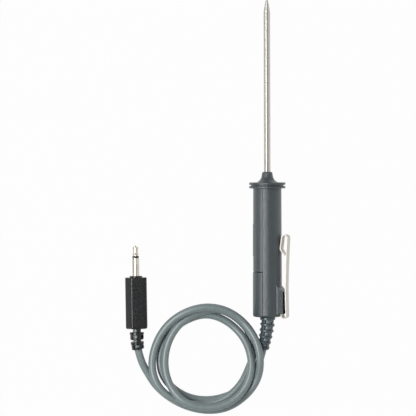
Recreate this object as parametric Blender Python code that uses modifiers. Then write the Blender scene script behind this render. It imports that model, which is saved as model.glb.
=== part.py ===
"""A penetration temperature probe with a pointed steel tube, a two-half plastic grip
with a pocket clip, and a loosely looped cable that ends in a straight 3.5 mm plug.
It lies on a table: Z is up, Y points along the probe towards its tip, units are metres."""

import math

import bmesh
import bpy
import numpy as np
from mathutils import Matrix, Vector

# Clearances
FIT = 0.0003
SNUG = 0.0001
SEAM_GAP = 0.0003

# How far a cutting block reaches past what it cuts
REACH = 0.03

# Smoothness of turned pieces
ROUND_STEPS = 48
SMALL_STEPS = 24

# Steel tube, its sensor and what holds it
TUBE_RADIUS = 0.00165
TUBE_WALL = 0.0003
TUBE_EXPOSED = 0.09085
TUBE_SEATED = 0.025
POINT_LENGTH = 0.0071
POINT_FULLNESS = 0.57
POINT_SOLID_LENGTH = 0.0085
BEAD_RADIUS = 0.0008
BEAD_LENGTH = 0.0026
LEAD_RADIUS = 0.00028
LEAD_SPREAD = 0.00045
LINER_RADIUS = 0.0012
LINER_WALL = 0.0002
LINER_OVERHANG = 0.002
TUBE_COLLAR_RADIUS = 0.0036
TUBE_COLLAR_LENGTH = 0.003

# Grip, in two halves and a rear cover
GRIP_LENGTH = 0.0675
GRIP_FRONT_RADIUS = 0.00743
GRIP_REAR_RADIUS = 0.0076
GRIP_WALL = 0.0016
REAR_EDGE_RADIUS = 0.001
FLANGE_RADIUS = 0.00957
FLANGE_THICKNESS = 0.0031
RIM_EDGE_RADIUS = 0.0004
GROOVE_WIDTH = 0.0006
GROOVE_DEPTH = 0.001
NOSE_LENGTH = 0.00555
NOSE_TIP_RADIUS = 0.0027
NOSE_FOOT_RADIUS = 0.0058
NOSE_FLARE = 0.0014
NOSE_EDGE_RADIUS = 0.0006
NOSE_BORE_LENGTH = 0.011
WEB_THICKNESS = 0.0014
WEB_SETBACK = 0.001
SEAM_TURN = math.radians(-21)
COVER_LENGTH = 0.0236
COVER_PROUD = 0.00016
PAD_REAR = 0.032
PAD_LENGTH = 0.0168
PAD_WIDTH = 0.0086
PAD_PROUD = 0.00016

# Block that carries the clip
BLOCK_WIDTH = 0.00814
BLOCK_ROOT = 0.0002
BLOCK_SHOULDER_RADIUS = 0.00698
BLOCK_REACH = 0.0096
BLOCK_DRAFT = math.radians(21)
BLOCK_REAR = 0.0016
BLOCK_LENGTH = 0.0141
BLOCK_SLOPE = 0.0024
SLOT_DEPTH = 0.0066

# Pocket clip, bent from one strip
CLIP_WIDTH = 0.0047
CLIP_THICKNESS = 0.0006
CLIP_SEAT_RADIUS = 0.0083
CLIP_LEG_RADIUS = 0.01098
CLIP_WAIST_RADIUS = 0.01066
CLIP_WAIST_HEIGHT = 0.014
CLIP_LEG_CURVE = 1.6
CLIP_REAR_STAND = 0.0008
CLIP_FOLD_REACH = 0.01168
CLIP_FOLD_HEIGHT = 0.0431
CLIP_FOLD_RADIUS = 0.0015
CLIP_ARM_LEAN = 9
CLIP_NIP_HEIGHT = 0.0360
CLIP_NIP_RADIUS = 0.0015
CLIP_LIP_REACH = 0.00225
CLIP_LIP_DROP = 0.00345

# Strain relief of the grip
RELIEF_COLLAR_RADIUS = 0.00405
RELIEF_COLLAR_LENGTH = 0.00135
RELIEF_NECK_RADIUS = 0.0033
RELIEF_FOOT_RADIUS = 0.0046
RELIEF_FOOT_THICKNESS = 0.0015
RELIEF_LENGTH = 0.017
RELIEF_FRONT_RADIUS = 0.004
RELIEF_END_RADIUS = 0.0032
RELIEF_TAPER_CURVE = 1.2
RELIEF_GROOVE_DEPTH = 0.00015
RELIEF_PITCH = 0.00307
RELIEF_FIRST_WINDOW = 0.00265
RELIEF_WINDOWS = 5
RELIEF_WINDOW_HEIGHT = 0.0018
RELIEF_LEDGE = 0.00006
RELIEF_WINDOW_WIDTH = 0.0039
RELIEF_WINDOW_TAPER = 0.25
RELIEF_ROLL = math.radians(10)

# Cable and what it joins inside the grip
CABLE_RADIUS = 0.002
CABLE_INNER_END = 0.009
CABLE_LEAD_OUT = 0.003
CLAMP_WALL = 0.0009
CLAMP_LENGTH = 0.003
CORE_RADIUS = 0.0005
CORE_SPREAD = 0.0008
SPLICE_SPREAD = 0.0019
SPLICE_START = 0.018
SPLICE_LENGTH = 0.008
SPLICE_WALL = 0.0003
SPLICE_ENTRY = 0.0025

# Plug: place on the table, body, contacts and terminals
PLUG_X = -0.07052
PLUG_Y = -0.06228
PLUG_YAW = math.radians(0.75)
BODY_ACROSS = 0.0113
BODY_LENGTH = 0.0271
BODY_FRONT_EDGE = 0.0004
BODY_REAR_EDGE = 0.0010
BODY_FRONT_WALL = 0.0012
BODY_CAVITY_RADIUS = 0.0036
BODY_CAVITY_LENGTH = 0.0193
BOSS_RADIUS = 0.0034
BOSS_LENGTH = 0.0008
SLEEVE_RADIUS = 0.00175
SLEEVE_LENGTH = 0.0103
SLEEVE_BORE_RADIUS = 0.00125
SLEEVE_FOOT_RADIUS = 0.0031
SLEEVE_FOOT_THICKNESS = 0.001
RING_LENGTH = 0.0011
INSULATOR_RADIUS = 0.0011
INSULATOR_BORE_RADIUS = 0.0008
INSULATOR_FOOT_RADIUS = 0.0015
INSULATOR_FOOT_THICKNESS = 0.0008
HEAD_LENGTH = 0.00545
HEAD_RADIUS = 0.00145
HEAD_WAIST_RADIUS = 0.0012
HEAD_SHOULDER_RADIUS = 0.0016
HEAD_NUB_RADIUS = 0.00055
ROD_RADIUS = 0.0006
ROD_REAR = 0.006
LUG_THICKNESS = 0.0004
LUG_WIDTH = 0.0024
LUG_BEND_RADIUS = 0.0005
TIP_LUG_REACH = 0.0022
TIP_LUG_LENGTH = 0.010
SLEEVE_LUG_BAND = 0.0005
SLEEVE_LUG_REACH = 0.0025
SLEEVE_LUG_LENGTH = 0.013
PLUG_CORE_RADIUS = 0.00045
PLUG_CORE_STRAIGHT = 0.002
PLUG_CORE_SPREAD_LENGTH = 0.004
CABLE_PLUG_END = 0.0193

# Skeleton of rings and bars behind the plug's body
SKELETON_ROLL = math.radians(21)
SKELETON_FRONT_RADIUS = 0.00385
SKELETON_END_RADIUS = 0.0033
SKELETON_STEPS = 7
SPINE_WIDTH = 0.0021
NECK_GAP = 0.00175
FRONT_BAND = 0.0014
BAR_WINDOW_LENGTH = 0.0015
BAR_WINDOW_WIDTH = 0.0032
THIN_BAND = 0.00095
MIDDLE_GAP = 0.00115
END_WINDOW_LENGTH = 0.00135
END_WINDOW_WIDTH = 0.0038
END_WINDOW_TURN = math.radians(-25)
END_BAND = 0.00115

# Route of the cable. Each turn point is an angle in degrees, clockwise from the far side
# of the loops, then the distance from the loops' middle and the height, in millimetres
# to the middle of the cable.
MM = 0.001
LOOP_X = -0.03366
LOOP_Y = -0.10517
ROUTE_FROM_GRIP = [
    (-1.49, -88.2, 7.56),
    (-1.91, -91.3, 7.3),
    (-2.51, -94.5, 6.75),
    (-3.21, -98.0, 5.85),
    (-4.11, -101.9, 4.45),
    (-5.21, -105.9, 3.15),
]
ROUTE_TURNS = [
    (104, 27.2, 2.4), (120, 25.4, 2.15), (137, 23.8, 2.0), (157, 22.5, 2.0), (180, 22.05, 2.0),
    (203, 22.5, 2.0), (225, 23.4, 2.0), (248, 24.5, 2.0), (270, 24.4, 2.0), (291, 23.7, 2.0),
    (314, 22.9, 2.0), (338, 22.6, 2.0), (361, 22.9, 2.0), (382, 22.4, 2.0), (402, 22.1, 2.15),
    (420, 22.4, 3.55), (435, 22.9, 5.65), (450, 23.6, 7.4), (465, 24.45, 8.6), (481, 25.15, 8.9),
    (500, 25.7, 9.15), (520, 25.75, 9.5), (540, 25.5, 9.8), (558, 25.2, 9.95), (573, 24.75, 9.7),
    (586, 24.0, 8.6), (601, 23.05, 6.9), (617, 22.2, 6.2), (636, 21.6, 6.2), (656, 21.7, 6.25),
    (674, 22.35, 6.3), (690, 23.2, 6.25), (706, 24.25, 5.95), (720, 25.4, 5.4), (736, 26.55, 4.0),
    (755, 26.6, 2.5), (775, 26.4, 2.0), (793, 25.6, 2.05), (811, 24.3, 2.75), (826, 22.9, 4.2),
    (842, 22.6, 5.6), (860, 22.7, 6.25), (880, 23.25, 6.15), (900, 23.9, 5.85), (915, 24.95, 5.7),
    (930, 26.4, 5.95), (944, 27.8, 6.2), (955, 28.75, 6.2), (967, 29.1, 6.1), (981, 28.8, 5.4),
    (997, 27.9, 4.9), (1015, 27.15, 5.9), (1035, 26.8, 7.7), (1056, 26.75, 9.1), (1080, 27.2, 9.3),
    (1100, 27.4, 8.3), (1121, 27.4, 6.9), (1140, 27.6, 8.1), (1155, 27.95, 10.05), (1165, 28.2, 10.45),
    (1175, 28.45, 9.95), (1186, 28.8, 8.4), (1200, 28.8, 6.35), (1217, 28.45, 4.2), (1238, 28.2, 2.5),
    (1260, 27.5, 2.0), (1275, 27.25, 2.0), (1291, 27.6, 2.0), (1309, 28.8, 2.0), (1325, 30.5, 2.05),
]
ROUTE_TO_PLUG = [
    (-64.36, -113.2, 2.4),
    (-66.61, -109.2, 3.0),
    (-68.16, -105.3, 3.9),
    (-69.31, -101.0, 4.75),
    (-69.86, -97.3, 5.3),
]
CABLE_STEP = 0.0081
CABLE_END_STEP = 0.004
CABLE_END_LENGTH = 0.028
FINE_STEP = 0.00025

# Worked out from the sizes above
COVER_RADIUS = GRIP_REAR_RADIUS + COVER_PROUD
RIM_REACH = GRIP_LENGTH + RIM_EDGE_RADIUS - REAR_EDGE_RADIUS
TILT = math.atan((FLANGE_RADIUS - COVER_RADIUS) / RIM_REACH)
AXIS_HEIGHT = COVER_RADIUS * math.cos(TILT) - REAR_EDGE_RADIUS * math.sin(TILT)
NOSE_TOP = GRIP_LENGTH + FLANGE_THICKNESS + NOSE_LENGTH
TIP_END = NOSE_TOP + TUBE_EXPOSED
TUBE_REAR = NOSE_TOP - TUBE_SEATED
REAR_WEB = TUBE_REAR + WEB_SETBACK
CAVITY_RADIUS = GRIP_FRONT_RADIUS - GRIP_WALL
TUBE_BORE = TUBE_RADIUS + FIT
CABLE_BORE = CABLE_RADIUS + FIT
CLIP_OUTER = CLIP_FOLD_REACH + CLIP_THICKNESS / 2
CLIP_SPAN = CLIP_OUTER * math.cos(SEAM_TURN) - CLIP_WIDTH / 2 * math.sin(SEAM_TURN)
CLIP_BEND_RADIUS = (CLIP_LEG_RADIUS - CLIP_SEAT_RADIUS) / 2
CLIP_REAR = BLOCK_REAR - CLIP_REAR_STAND - CLIP_BEND_RADIUS - CLIP_THICKNESS / 2
PROBE_X = (FLANGE_RADIUS - CLIP_SPAN) / 2
PROBE_Y = -(TIP_END * math.cos(TILT) + min(CLIP_REAR, 0) * math.cos(TILT)) / 2
FIRST_SEGMENT = FRONT_BAND + BAR_WINDOW_LENGTH + THIN_BAND
END_SEGMENT = FRONT_BAND + END_WINDOW_LENGTH + END_BAND
SKELETON_LENGTH = NECK_GAP + FIRST_SEGMENT + MIDDLE_GAP + END_SEGMENT


def clear_scene():
    for item in list(bpy.data.objects):
        bpy.data.objects.remove(item)


def new_collection(name):
    group = bpy.data.collections.new(name)
    bpy.context.scene.collection.children.link(group)
    return group


def new_empty(name, location, rotation, parent=None):
    empty = bpy.data.objects.new(name, None)
    empty.empty_display_size = 0.01
    empty.location = location
    empty.rotation_euler = rotation
    empty.parent = parent
    parts.objects.link(empty)
    return empty


def new_material(name, colour, roughness, metallic=0.0):
    material = bpy.data.materials.new(name)
    material.use_nodes = True
    shader = material.node_tree.nodes["Principled BSDF"]
    shader.inputs["Base Color"].default_value = (*colour, 1.0)
    shader.inputs["Roughness"].default_value = roughness
    shader.inputs["Metallic"].default_value = metallic
    return material


def smooth_shading(mesh, angle=35):
    mesh.shade_smooth()
    mesh.set_sharp_from_angle(angle=math.radians(angle))


def add_object(name, mesh, parent=None, material=None, group=None):
    item = bpy.data.objects.new(name, mesh)
    if material is not None:
        mesh.materials.append(material)
    item.parent = parent
    (group or parts).objects.link(item)
    return item


def make_cutter(item):
    """Turns an object into a hidden tool of a Boolean."""
    item.hide_render = True
    item.display_type = "WIRE"
    if item.name not in cutters.objects:
        cutters.objects.link(item)
    if item.name in parts.objects:
        parts.objects.unlink(item)
    return item


def fixed_mesh(item):
    """The evaluated mesh of an object in its own coordinates, with its doubles merged."""
    bpy.context.view_layer.update()
    graph = bpy.context.evaluated_depsgraph_get()
    mesh = bpy.data.meshes.new_from_object(item.evaluated_get(graph))
    shape = bmesh.new()
    shape.from_mesh(mesh)
    bmesh.ops.remove_doubles(shape, verts=shape.verts, dist=0.000002)
    shape.to_mesh(mesh)
    shape.free()
    return mesh


def turned(name, profile, parent=None, material=None, steps=ROUND_STEPS, turn=0.0):
    """A turned piece. The profile holds (radius, height) pairs and runs down the outer side."""
    closed = min(radius for radius, _ in profile) > 1e-6
    mesh = bpy.data.meshes.new(name)
    points = [(radius, 0, height) for radius, height in profile]
    lines = [(i, i + 1) for i in range(len(points) - 1)]
    if closed:
        lines.append((len(points) - 1, 0))
    mesh.from_pydata(points, lines, [])
    item = add_object(name, mesh, parent, material)
    item.rotation_euler.z = turn
    screw = item.modifiers.new("Turn", "SCREW")
    screw.axis = "Z"
    screw.angle = math.tau
    screw.steps = steps
    screw.render_steps = steps
    screw.use_merge_vertices = True
    screw.merge_threshold = 0.000005
    screw.use_smooth_shade = True
    return item


def box(name, low, high, parent=None, material=None, turn=0.0):
    """A block between two corners, turned about Z."""
    shape = bmesh.new()
    bmesh.ops.create_cube(shape, size=1.0)
    size = [high[i] - low[i] for i in range(3)]
    middle = [(high[i] + low[i]) / 2 for i in range(3)]
    bmesh.ops.scale(shape, vec=size, verts=shape.verts)
    bmesh.ops.translate(shape, vec=middle, verts=shape.verts)
    mesh = bpy.data.meshes.new(name)
    shape.to_mesh(mesh)
    shape.free()
    item = add_object(name, mesh, parent, material)
    item.rotation_euler.z = turn
    return item


def plate(name, outline, thickness, parent=None, material=None):
    """A flat outline in X and Y, with its thickness shared above and below Z = 0."""
    curve = bpy.data.curves.new(name + "_outline", "CURVE")
    curve.dimensions = "2D"
    curve.fill_mode = "BOTH"
    curve.extrude = thickness / 2
    line = curve.splines.new("POLY")
    line.points.add(len(outline) - 1)
    for point, (x, y) in zip(line.points, outline):
        point.co = (x, y, 0, 1)
    line.use_cyclic_u = True
    guide = add_object(name + "_outline", curve)
    mesh = fixed_mesh(guide)
    bpy.data.objects.remove(guide)
    return add_object(name, mesh, parent, material)


def wire(name, points, radius, material, parent=None, bevel=2):
    curve = bpy.data.curves.new(name, "CURVE")
    curve.dimensions = "3D"
    curve.bevel_depth = radius
    curve.bevel_resolution = bevel
    curve.use_fill_caps = True
    line = curve.splines.new("POLY")
    line.points.add(len(points) - 1)
    for point, place in zip(line.points, points):
        point.co = (*place, 1)
    curve.materials.append(material)
    item = bpy.data.objects.new(name, curve)
    item.parent = parent
    parts.objects.link(item)
    return item


def strip(name, path, width, thickness, parent, material):
    """A bent strip: the path runs in X and Z, the width lies along Y."""
    mesh = bpy.data.meshes.new(name)
    points = [(x, side * width / 2, z) for x, z in path for side in (-1, 1)]
    faces = [(2 * i, 2 * i + 1, 2 * i + 3, 2 * i + 2) for i in range(len(path) - 1)]
    mesh.from_pydata(points, [], faces)
    item = add_object(name, mesh, parent, material)
    wall = item.modifiers.new("Thickness", "SOLIDIFY")
    wall.thickness = thickness
    wall.offset = 0
    wall.use_even_offset = True
    return item


def change(item, tool, operation):
    step = item.modifiers.new(operation.title(), "BOOLEAN")
    step.operation = operation
    step.solver = "EXACT"
    step.object = tool
    return item


def arc(middle_x, middle_z, radius, first, last, count):
    """Points on a circle between two angles in degrees, counted from X towards Z."""
    return [
        (middle_x + radius * math.cos(math.radians(a)), middle_z + radius * math.sin(math.radians(a)))
        for a in np.linspace(first, last, count)
    ]


def smooth_path(points, step):
    """Points on a smooth curve through the given ones, at nearly equal steps along it."""
    points = np.array(points, dtype=float)
    knots = np.concatenate([[0.0], np.cumsum(np.linalg.norm(np.diff(points, axis=0), axis=1))])
    gaps = np.diff(knots)
    count = len(points)
    matrix = np.eye(count)
    target = np.zeros((count, 3))
    for i in range(1, count - 1):
        matrix[i, i - 1 : i + 2] = gaps[i - 1], 2 * (gaps[i - 1] + gaps[i]), gaps[i]
        slope_after = (points[i + 1] - points[i]) / gaps[i]
        slope_before = (points[i] - points[i - 1]) / gaps[i - 1]
        target[i] = 6 * (slope_after - slope_before)
    bend = np.linalg.solve(matrix, target)
    fine = np.linspace(0, knots[-1], int(knots[-1] / FINE_STEP) + 1)
    k = np.clip(np.searchsorted(knots, fine, side="right") - 1, 0, count - 2)
    width = gaps[k][:, None]
    ahead = (knots[k + 1] - fine)[:, None]
    behind = (fine - knots[k])[:, None]
    curve = (bend[k] * ahead**3 + bend[k + 1] * behind**3) / (6 * width)
    curve += (points[k] / width - bend[k] * width / 6) * ahead
    curve += (points[k + 1] / width - bend[k + 1] * width / 6) * behind
    run = np.concatenate([[0.0], np.cumsum(np.linalg.norm(np.diff(curve, axis=0), axis=1))])
    wanted = np.linspace(0, run[-1], max(2, round(run[-1] / step) + 1))
    return np.stack([np.interp(wanted, run, curve[:, axis]) for axis in range(3)], axis=1)


def lay_along(mesh, path, side, steps_from):
    """Moves a straight mesh onto a path. The mesh runs down from Z = 0 and its Z gives the
    distance along the path, its X and Y the offset from it. The path's first direction is
    the piece's own -Z, and side is the world direction of its X there."""
    directions = np.gradient(path, axis=0)
    directions /= np.linalg.norm(directions, axis=1)[:, None]
    run = np.concatenate([[0.0], np.cumsum(np.linalg.norm(np.diff(path, axis=0), axis=1))])
    sides = np.empty_like(path)
    current = np.array(side, dtype=float)
    for i, direction in enumerate(directions):
        current = current - direction * (current @ direction)
        current /= np.linalg.norm(current)
        sides[i] = current
    for vertex in mesh.vertices:
        distance = steps_from - vertex.co.z
        place = np.array([np.interp(distance, run, path[:, axis]) for axis in range(3)])
        along = np.array([np.interp(distance, run, directions[:, axis]) for axis in range(3)])
        across = np.array([np.interp(distance, run, sides[:, axis]) for axis in range(3)])
        other = np.cross(-along, across)
        vertex.co = place + across * vertex.co.x + other * vertex.co.y
    mesh.update()


def grip_radius(height):
    """The grip is slightly wider at its rear, where the height is 0."""
    share = height / GRIP_LENGTH
    return GRIP_REAR_RADIUS + (GRIP_FRONT_RADIUS - GRIP_REAR_RADIUS) * share


def rear_edge(radius):
    """The rounded rear edge of the grip, from its side down to its rear face."""
    middle = radius - REAR_EDGE_RADIUS
    return [
        (middle + REAR_EDGE_RADIUS * math.cos(a), REAR_EDGE_RADIUS - REAR_EDGE_RADIUS * math.sin(a))
        for a in np.linspace(0, math.pi / 2, 5)
    ]


def rim(low, high):
    """One rim of the flange between two heights, from its upper edge to its lower one."""
    middle = FLANGE_RADIUS - RIM_EDGE_RADIUS
    upper = arc(middle, high - RIM_EDGE_RADIUS, RIM_EDGE_RADIUS, 90, 0, 4)
    lower = arc(middle, low + RIM_EDGE_RADIUS, RIM_EDGE_RADIUS, 0, -90, 4)
    return upper + lower


def nose_profile():
    """The nose from its bore over its rounded front edge down to the flange."""
    points = [(TUBE_BORE, NOSE_TOP)]
    edge = NOSE_TIP_RADIUS - NOSE_EDGE_RADIUS
    points += arc(edge, NOSE_TOP - NOSE_EDGE_RADIUS, NOSE_EDGE_RADIUS, 90, 0, 4)
    flare = NOSE_FOOT_RADIUS - NOSE_TIP_RADIUS
    flange_top = GRIP_LENGTH + FLANGE_THICKNESS
    for rise in np.geomspace(1, 8, 9)[::-1]:
        height = (rise - 1) / 7 * (NOSE_LENGTH - 2 * NOSE_EDGE_RADIUS)
        radius = NOSE_TIP_RADIUS + flare * math.exp(-height / NOSE_FLARE)
        points.append((radius, flange_top + height))
    return points


def grip_profile():
    """Outer and inner outline of the whole grip, from the nose down and back up inside."""
    flange_top = GRIP_LENGTH + FLANGE_THICKNESS
    groove_top = GRIP_LENGTH + (FLANGE_THICKNESS + GROOVE_WIDTH) / 2
    groove_floor = FLANGE_RADIUS - GROOVE_DEPTH
    points = nose_profile()
    points += rim(groove_top, flange_top)
    points += [(groove_floor, groove_top), (groove_floor, groove_top - GROOVE_WIDTH)]
    points += rim(GRIP_LENGTH, groove_top - GROOVE_WIDTH)
    points += [(grip_radius(GRIP_LENGTH), GRIP_LENGTH)]
    points += rear_edge(GRIP_REAR_RADIUS)
    points += [(RELIEF_NECK_RADIUS + FIT, 0), (RELIEF_NECK_RADIUS + FIT, GRIP_WALL)]
    inside = CAVITY_RADIUS
    front_web = REAR_WEB + WEB_THICKNESS + TUBE_COLLAR_LENGTH + 2 * FIT
    points += [(inside, GRIP_WALL), (inside, REAR_WEB), (TUBE_BORE, REAR_WEB)]
    points += [(TUBE_BORE, REAR_WEB + WEB_THICKNESS), (inside, REAR_WEB + WEB_THICKNESS)]
    points += [(inside, front_web), (TUBE_BORE, front_web), (TUBE_BORE, front_web + WEB_THICKNESS)]
    bore_foot = NOSE_TOP - NOSE_BORE_LENGTH
    points += [(inside, front_web + WEB_THICKNESS), (inside, bore_foot), (TUBE_BORE, bore_foot)]
    return points


def far_side(name, side):
    """A block over one side of the seam, and over the gap between the halves."""
    near, far = sorted((side * REACH, -side * SEAM_GAP / 2))
    block = box(name, (near, -REACH, -REACH), (far, REACH, NOSE_TOP + REACH), seam_frame)
    return make_cutter(block)


def clip_block():
    """The block for the clip: straight sides at the grip, then tapered to its outer face,
    with a front that slopes back by as much as it rises."""
    foot = CAVITY_RADIUS + BLOCK_ROOT
    half = BLOCK_WIDTH / 2
    outer = half - (BLOCK_REACH - BLOCK_SHOULDER_RADIUS) * math.tan(BLOCK_DRAFT)
    outline = [(foot, -half), (BLOCK_SHOULDER_RADIUS, -half), (BLOCK_REACH, -outer)]
    outline += [(BLOCK_REACH, outer), (BLOCK_SHOULDER_RADIUS, half), (foot, half)]
    block = plate("clip_block", outline, BLOCK_LENGTH, seam_frame)
    block.location.z = BLOCK_REAR + BLOCK_LENGTH / 2
    for vertex in block.data.vertices:
        if vertex.co.z > 0:
            vertex.co.z += BLOCK_REACH - BLOCK_SLOPE - vertex.co.x
    return make_cutter(block)


def build_grip_right():
    item = turned("handle_half_right", grip_profile(), seam_frame, grip_plastic)
    change(item, far_side("left_of_seam", -1), "DIFFERENCE")
    change(item, clip_block(), "UNION")
    low = (CLIP_SEAT_RADIUS - CLIP_THICKNESS / 2 - FIT, -CLIP_WIDTH / 2 - FIT, -GRIP_WALL)
    high = (CLIP_SEAT_RADIUS + CLIP_THICKNESS / 2 + FIT, CLIP_WIDTH / 2 + FIT, BLOCK_REAR + SLOT_DEPTH)
    change(item, make_cutter(box("clip_slot", low, high, seam_frame)), "DIFFERENCE")
    return item


def build_grip_left():
    item = turned("handle_half_left", grip_profile(), seam_frame, grip_plastic)
    change(item, far_side("right_of_seam", 1), "DIFFERENCE")
    room = box("cover_room", (-REACH, -REACH, -REACH), (REACH, REACH, COVER_LENGTH + FIT), seam_frame)
    change(item, make_cutter(room), "DIFFERENCE")
    return item


def cover_profile():
    front = COVER_LENGTH
    outer = grip_radius(front) + COVER_PROUD
    points = [(CAVITY_RADIUS, front), (outer - COVER_PROUD, front), (outer, front - COVER_PROUD)]
    points += rear_edge(COVER_RADIUS)
    points += [(RELIEF_NECK_RADIUS + FIT, 0), (RELIEF_NECK_RADIUS + FIT, GRIP_WALL)]
    points += [(CAVITY_RADIUS, GRIP_WALL)]
    return points


def build_cover():
    item = turned("rear_cover", cover_profile(), seam_frame, grip_plastic)
    return change(item, far_side("right_of_cover", 1), "DIFFERENCE")


def build_pad(carrier):
    """A bare raised pad on the left half, with the grip's own curve."""
    top = PAD_REAR + PAD_LENGTH
    inner = CAVITY_RADIUS + GRIP_WALL / 2
    profile = [(inner, top), (grip_radius(top) + PAD_PROUD, top)]
    profile += [(grip_radius(PAD_REAR) + PAD_PROUD, PAD_REAR), (inner, PAD_REAR)]
    pad = turned("label_pad", profile, seam_frame)
    low = (-REACH, -PAD_WIDTH / 2, 0)
    window = box("pad_window", low, (-inner / 2, PAD_WIDTH / 2, GRIP_LENGTH), seam_frame)
    change(pad, make_cutter(window), "INTERSECT")
    change(carrier, make_cutter(pad), "UNION")


def tube_profile():
    """The pointed tube: outer side from the point down, then the bore back up."""
    points = [(0, TIP_END)]
    for share in (0.02, 0.06, 0.13, 0.23, 0.36, 0.51, 0.67, 0.83, 1.0):
        points.append((TUBE_RADIUS * share**POINT_FULLNESS, TIP_END - POINT_LENGTH * share))
    bore = TUBE_RADIUS - TUBE_WALL
    points += [(TUBE_RADIUS, TUBE_REAR), (bore, TUBE_REAR)]
    points += [(bore, TIP_END - POINT_SOLID_LENGTH - bore), (0, TIP_END - POINT_SOLID_LENGTH)]
    return points


def build_tube():
    return turned("probe_tube", tube_profile(), probe_axis, stainless, steps=32)


def build_sensor():
    bore = TUBE_RADIUS - TUBE_WALL
    top = TIP_END - POINT_SOLID_LENGTH - bore - FIT
    shape = bmesh.new()
    bmesh.ops.create_uvsphere(shape, u_segments=12, v_segments=8, radius=BEAD_RADIUS)
    bmesh.ops.scale(shape, vec=(1, 1, BEAD_LENGTH / (2 * BEAD_RADIUS)), verts=shape.verts)
    mesh = bpy.data.meshes.new("sensor_bead")
    shape.to_mesh(mesh)
    shape.free()
    bead = add_object("sensor_bead", mesh, probe_axis, bead_resin)
    bead.location.z = top - BEAD_LENGTH / 2
    smooth_shading(mesh)
    lead_top = top - BEAD_LENGTH - FIT
    liner_top = lead_top - LEAD_SPREAD
    liner_bore = LINER_RADIUS - LINER_WALL
    liner_rear = TUBE_REAR - LINER_OVERHANG
    profile = [(liner_bore, liner_top), (LINER_RADIUS, liner_top), (LINER_RADIUS, liner_rear)]
    profile += [(liner_bore, liner_rear)]
    turned("insulating_sleeve", profile, probe_axis, clear_ptfe, steps=SMALL_STEPS)
    splice_top = SPLICE_START + SPLICE_LENGTH
    for name, side, material in (("sensor_lead_a", 1, red_wire), ("sensor_lead_b", -1, white_wire)):
        straight = LEAD_SPREAD * side
        spread = SPLICE_SPREAD * side
        path = [(straight, 0, lead_top), (straight, 0, liner_rear - LINER_RADIUS)]
        path += [(spread, 0, splice_top + 3 * SPLICE_ENTRY), (spread, 0, splice_top - SPLICE_ENTRY)]
        wire(name, path, LEAD_RADIUS, material, probe_axis, bevel=1)


def build_tube_collar():
    low = REAR_WEB + WEB_THICKNESS + FIT
    high = low + TUBE_COLLAR_LENGTH
    inner = TUBE_RADIUS + SNUG
    profile = [(inner, high), (TUBE_COLLAR_RADIUS, high), (TUBE_COLLAR_RADIUS, low), (inner, low)]
    turned("tube_collar", profile, probe_axis, stainless, steps=SMALL_STEPS)


def leg_reach(height, rear, front):
    """The clip's leg comes closest to the grip at its waist and leans out to both ends."""
    if height < CLIP_WAIST_HEIGHT:
        end, share = CLIP_LEG_RADIUS, (CLIP_WAIST_HEIGHT - height) / (CLIP_WAIST_HEIGHT - rear)
    else:
        end, share = CLIP_FOLD_REACH, (height - CLIP_WAIST_HEIGHT) / (front - CLIP_WAIST_HEIGHT)
    return CLIP_WAIST_RADIUS + (end - CLIP_WAIST_RADIUS) * share**CLIP_LEG_CURVE


def clip_path():
    """Middle line of the strip as radius and height: seat, rear bend, leg, fold, nip and lip."""
    bend_x = CLIP_SEAT_RADIUS + CLIP_BEND_RADIUS
    bend_z = BLOCK_REAR - CLIP_REAR_STAND
    path = [(CLIP_SEAT_RADIUS, BLOCK_REAR + SLOT_DEPTH - FIT), (CLIP_SEAT_RADIUS, bend_z)]
    path += arc(bend_x, bend_z, CLIP_BEND_RADIUS, 200, 360, 9)
    fold_x = CLIP_FOLD_REACH - CLIP_FOLD_RADIUS
    fold_z = CLIP_FOLD_HEIGHT - CLIP_FOLD_RADIUS
    for height in np.linspace(bend_z, fold_z, 8)[1:-1]:
        path.append((leg_reach(height, bend_z, fold_z), height))
    path += arc(fold_x, fold_z, CLIP_FOLD_RADIUS, 0, 180 - CLIP_ARM_LEAN, 9)
    nip_x = grip_radius(CLIP_NIP_HEIGHT) + SNUG + CLIP_THICKNESS / 2
    lip_lean = math.degrees(math.atan2(CLIP_LIP_REACH, CLIP_LIP_DROP))
    middle = nip_x + CLIP_NIP_RADIUS
    path += arc(middle, CLIP_NIP_HEIGHT, CLIP_NIP_RADIUS, 180 - CLIP_ARM_LEAN, 180 + lip_lean, 6)
    path.append((nip_x + CLIP_LIP_REACH, CLIP_NIP_HEIGHT - CLIP_LIP_DROP))
    return path


def build_clip():
    return strip("pocket_clip", clip_path(), CLIP_WIDTH, CLIP_THICKNESS, seam_frame, clip_steel)


def relief_radius(distance):
    share = max(0.0, distance / RELIEF_LENGTH)
    return RELIEF_FRONT_RADIUS + (RELIEF_END_RADIUS - RELIEF_FRONT_RADIUS) * share**RELIEF_TAPER_CURVE


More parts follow.
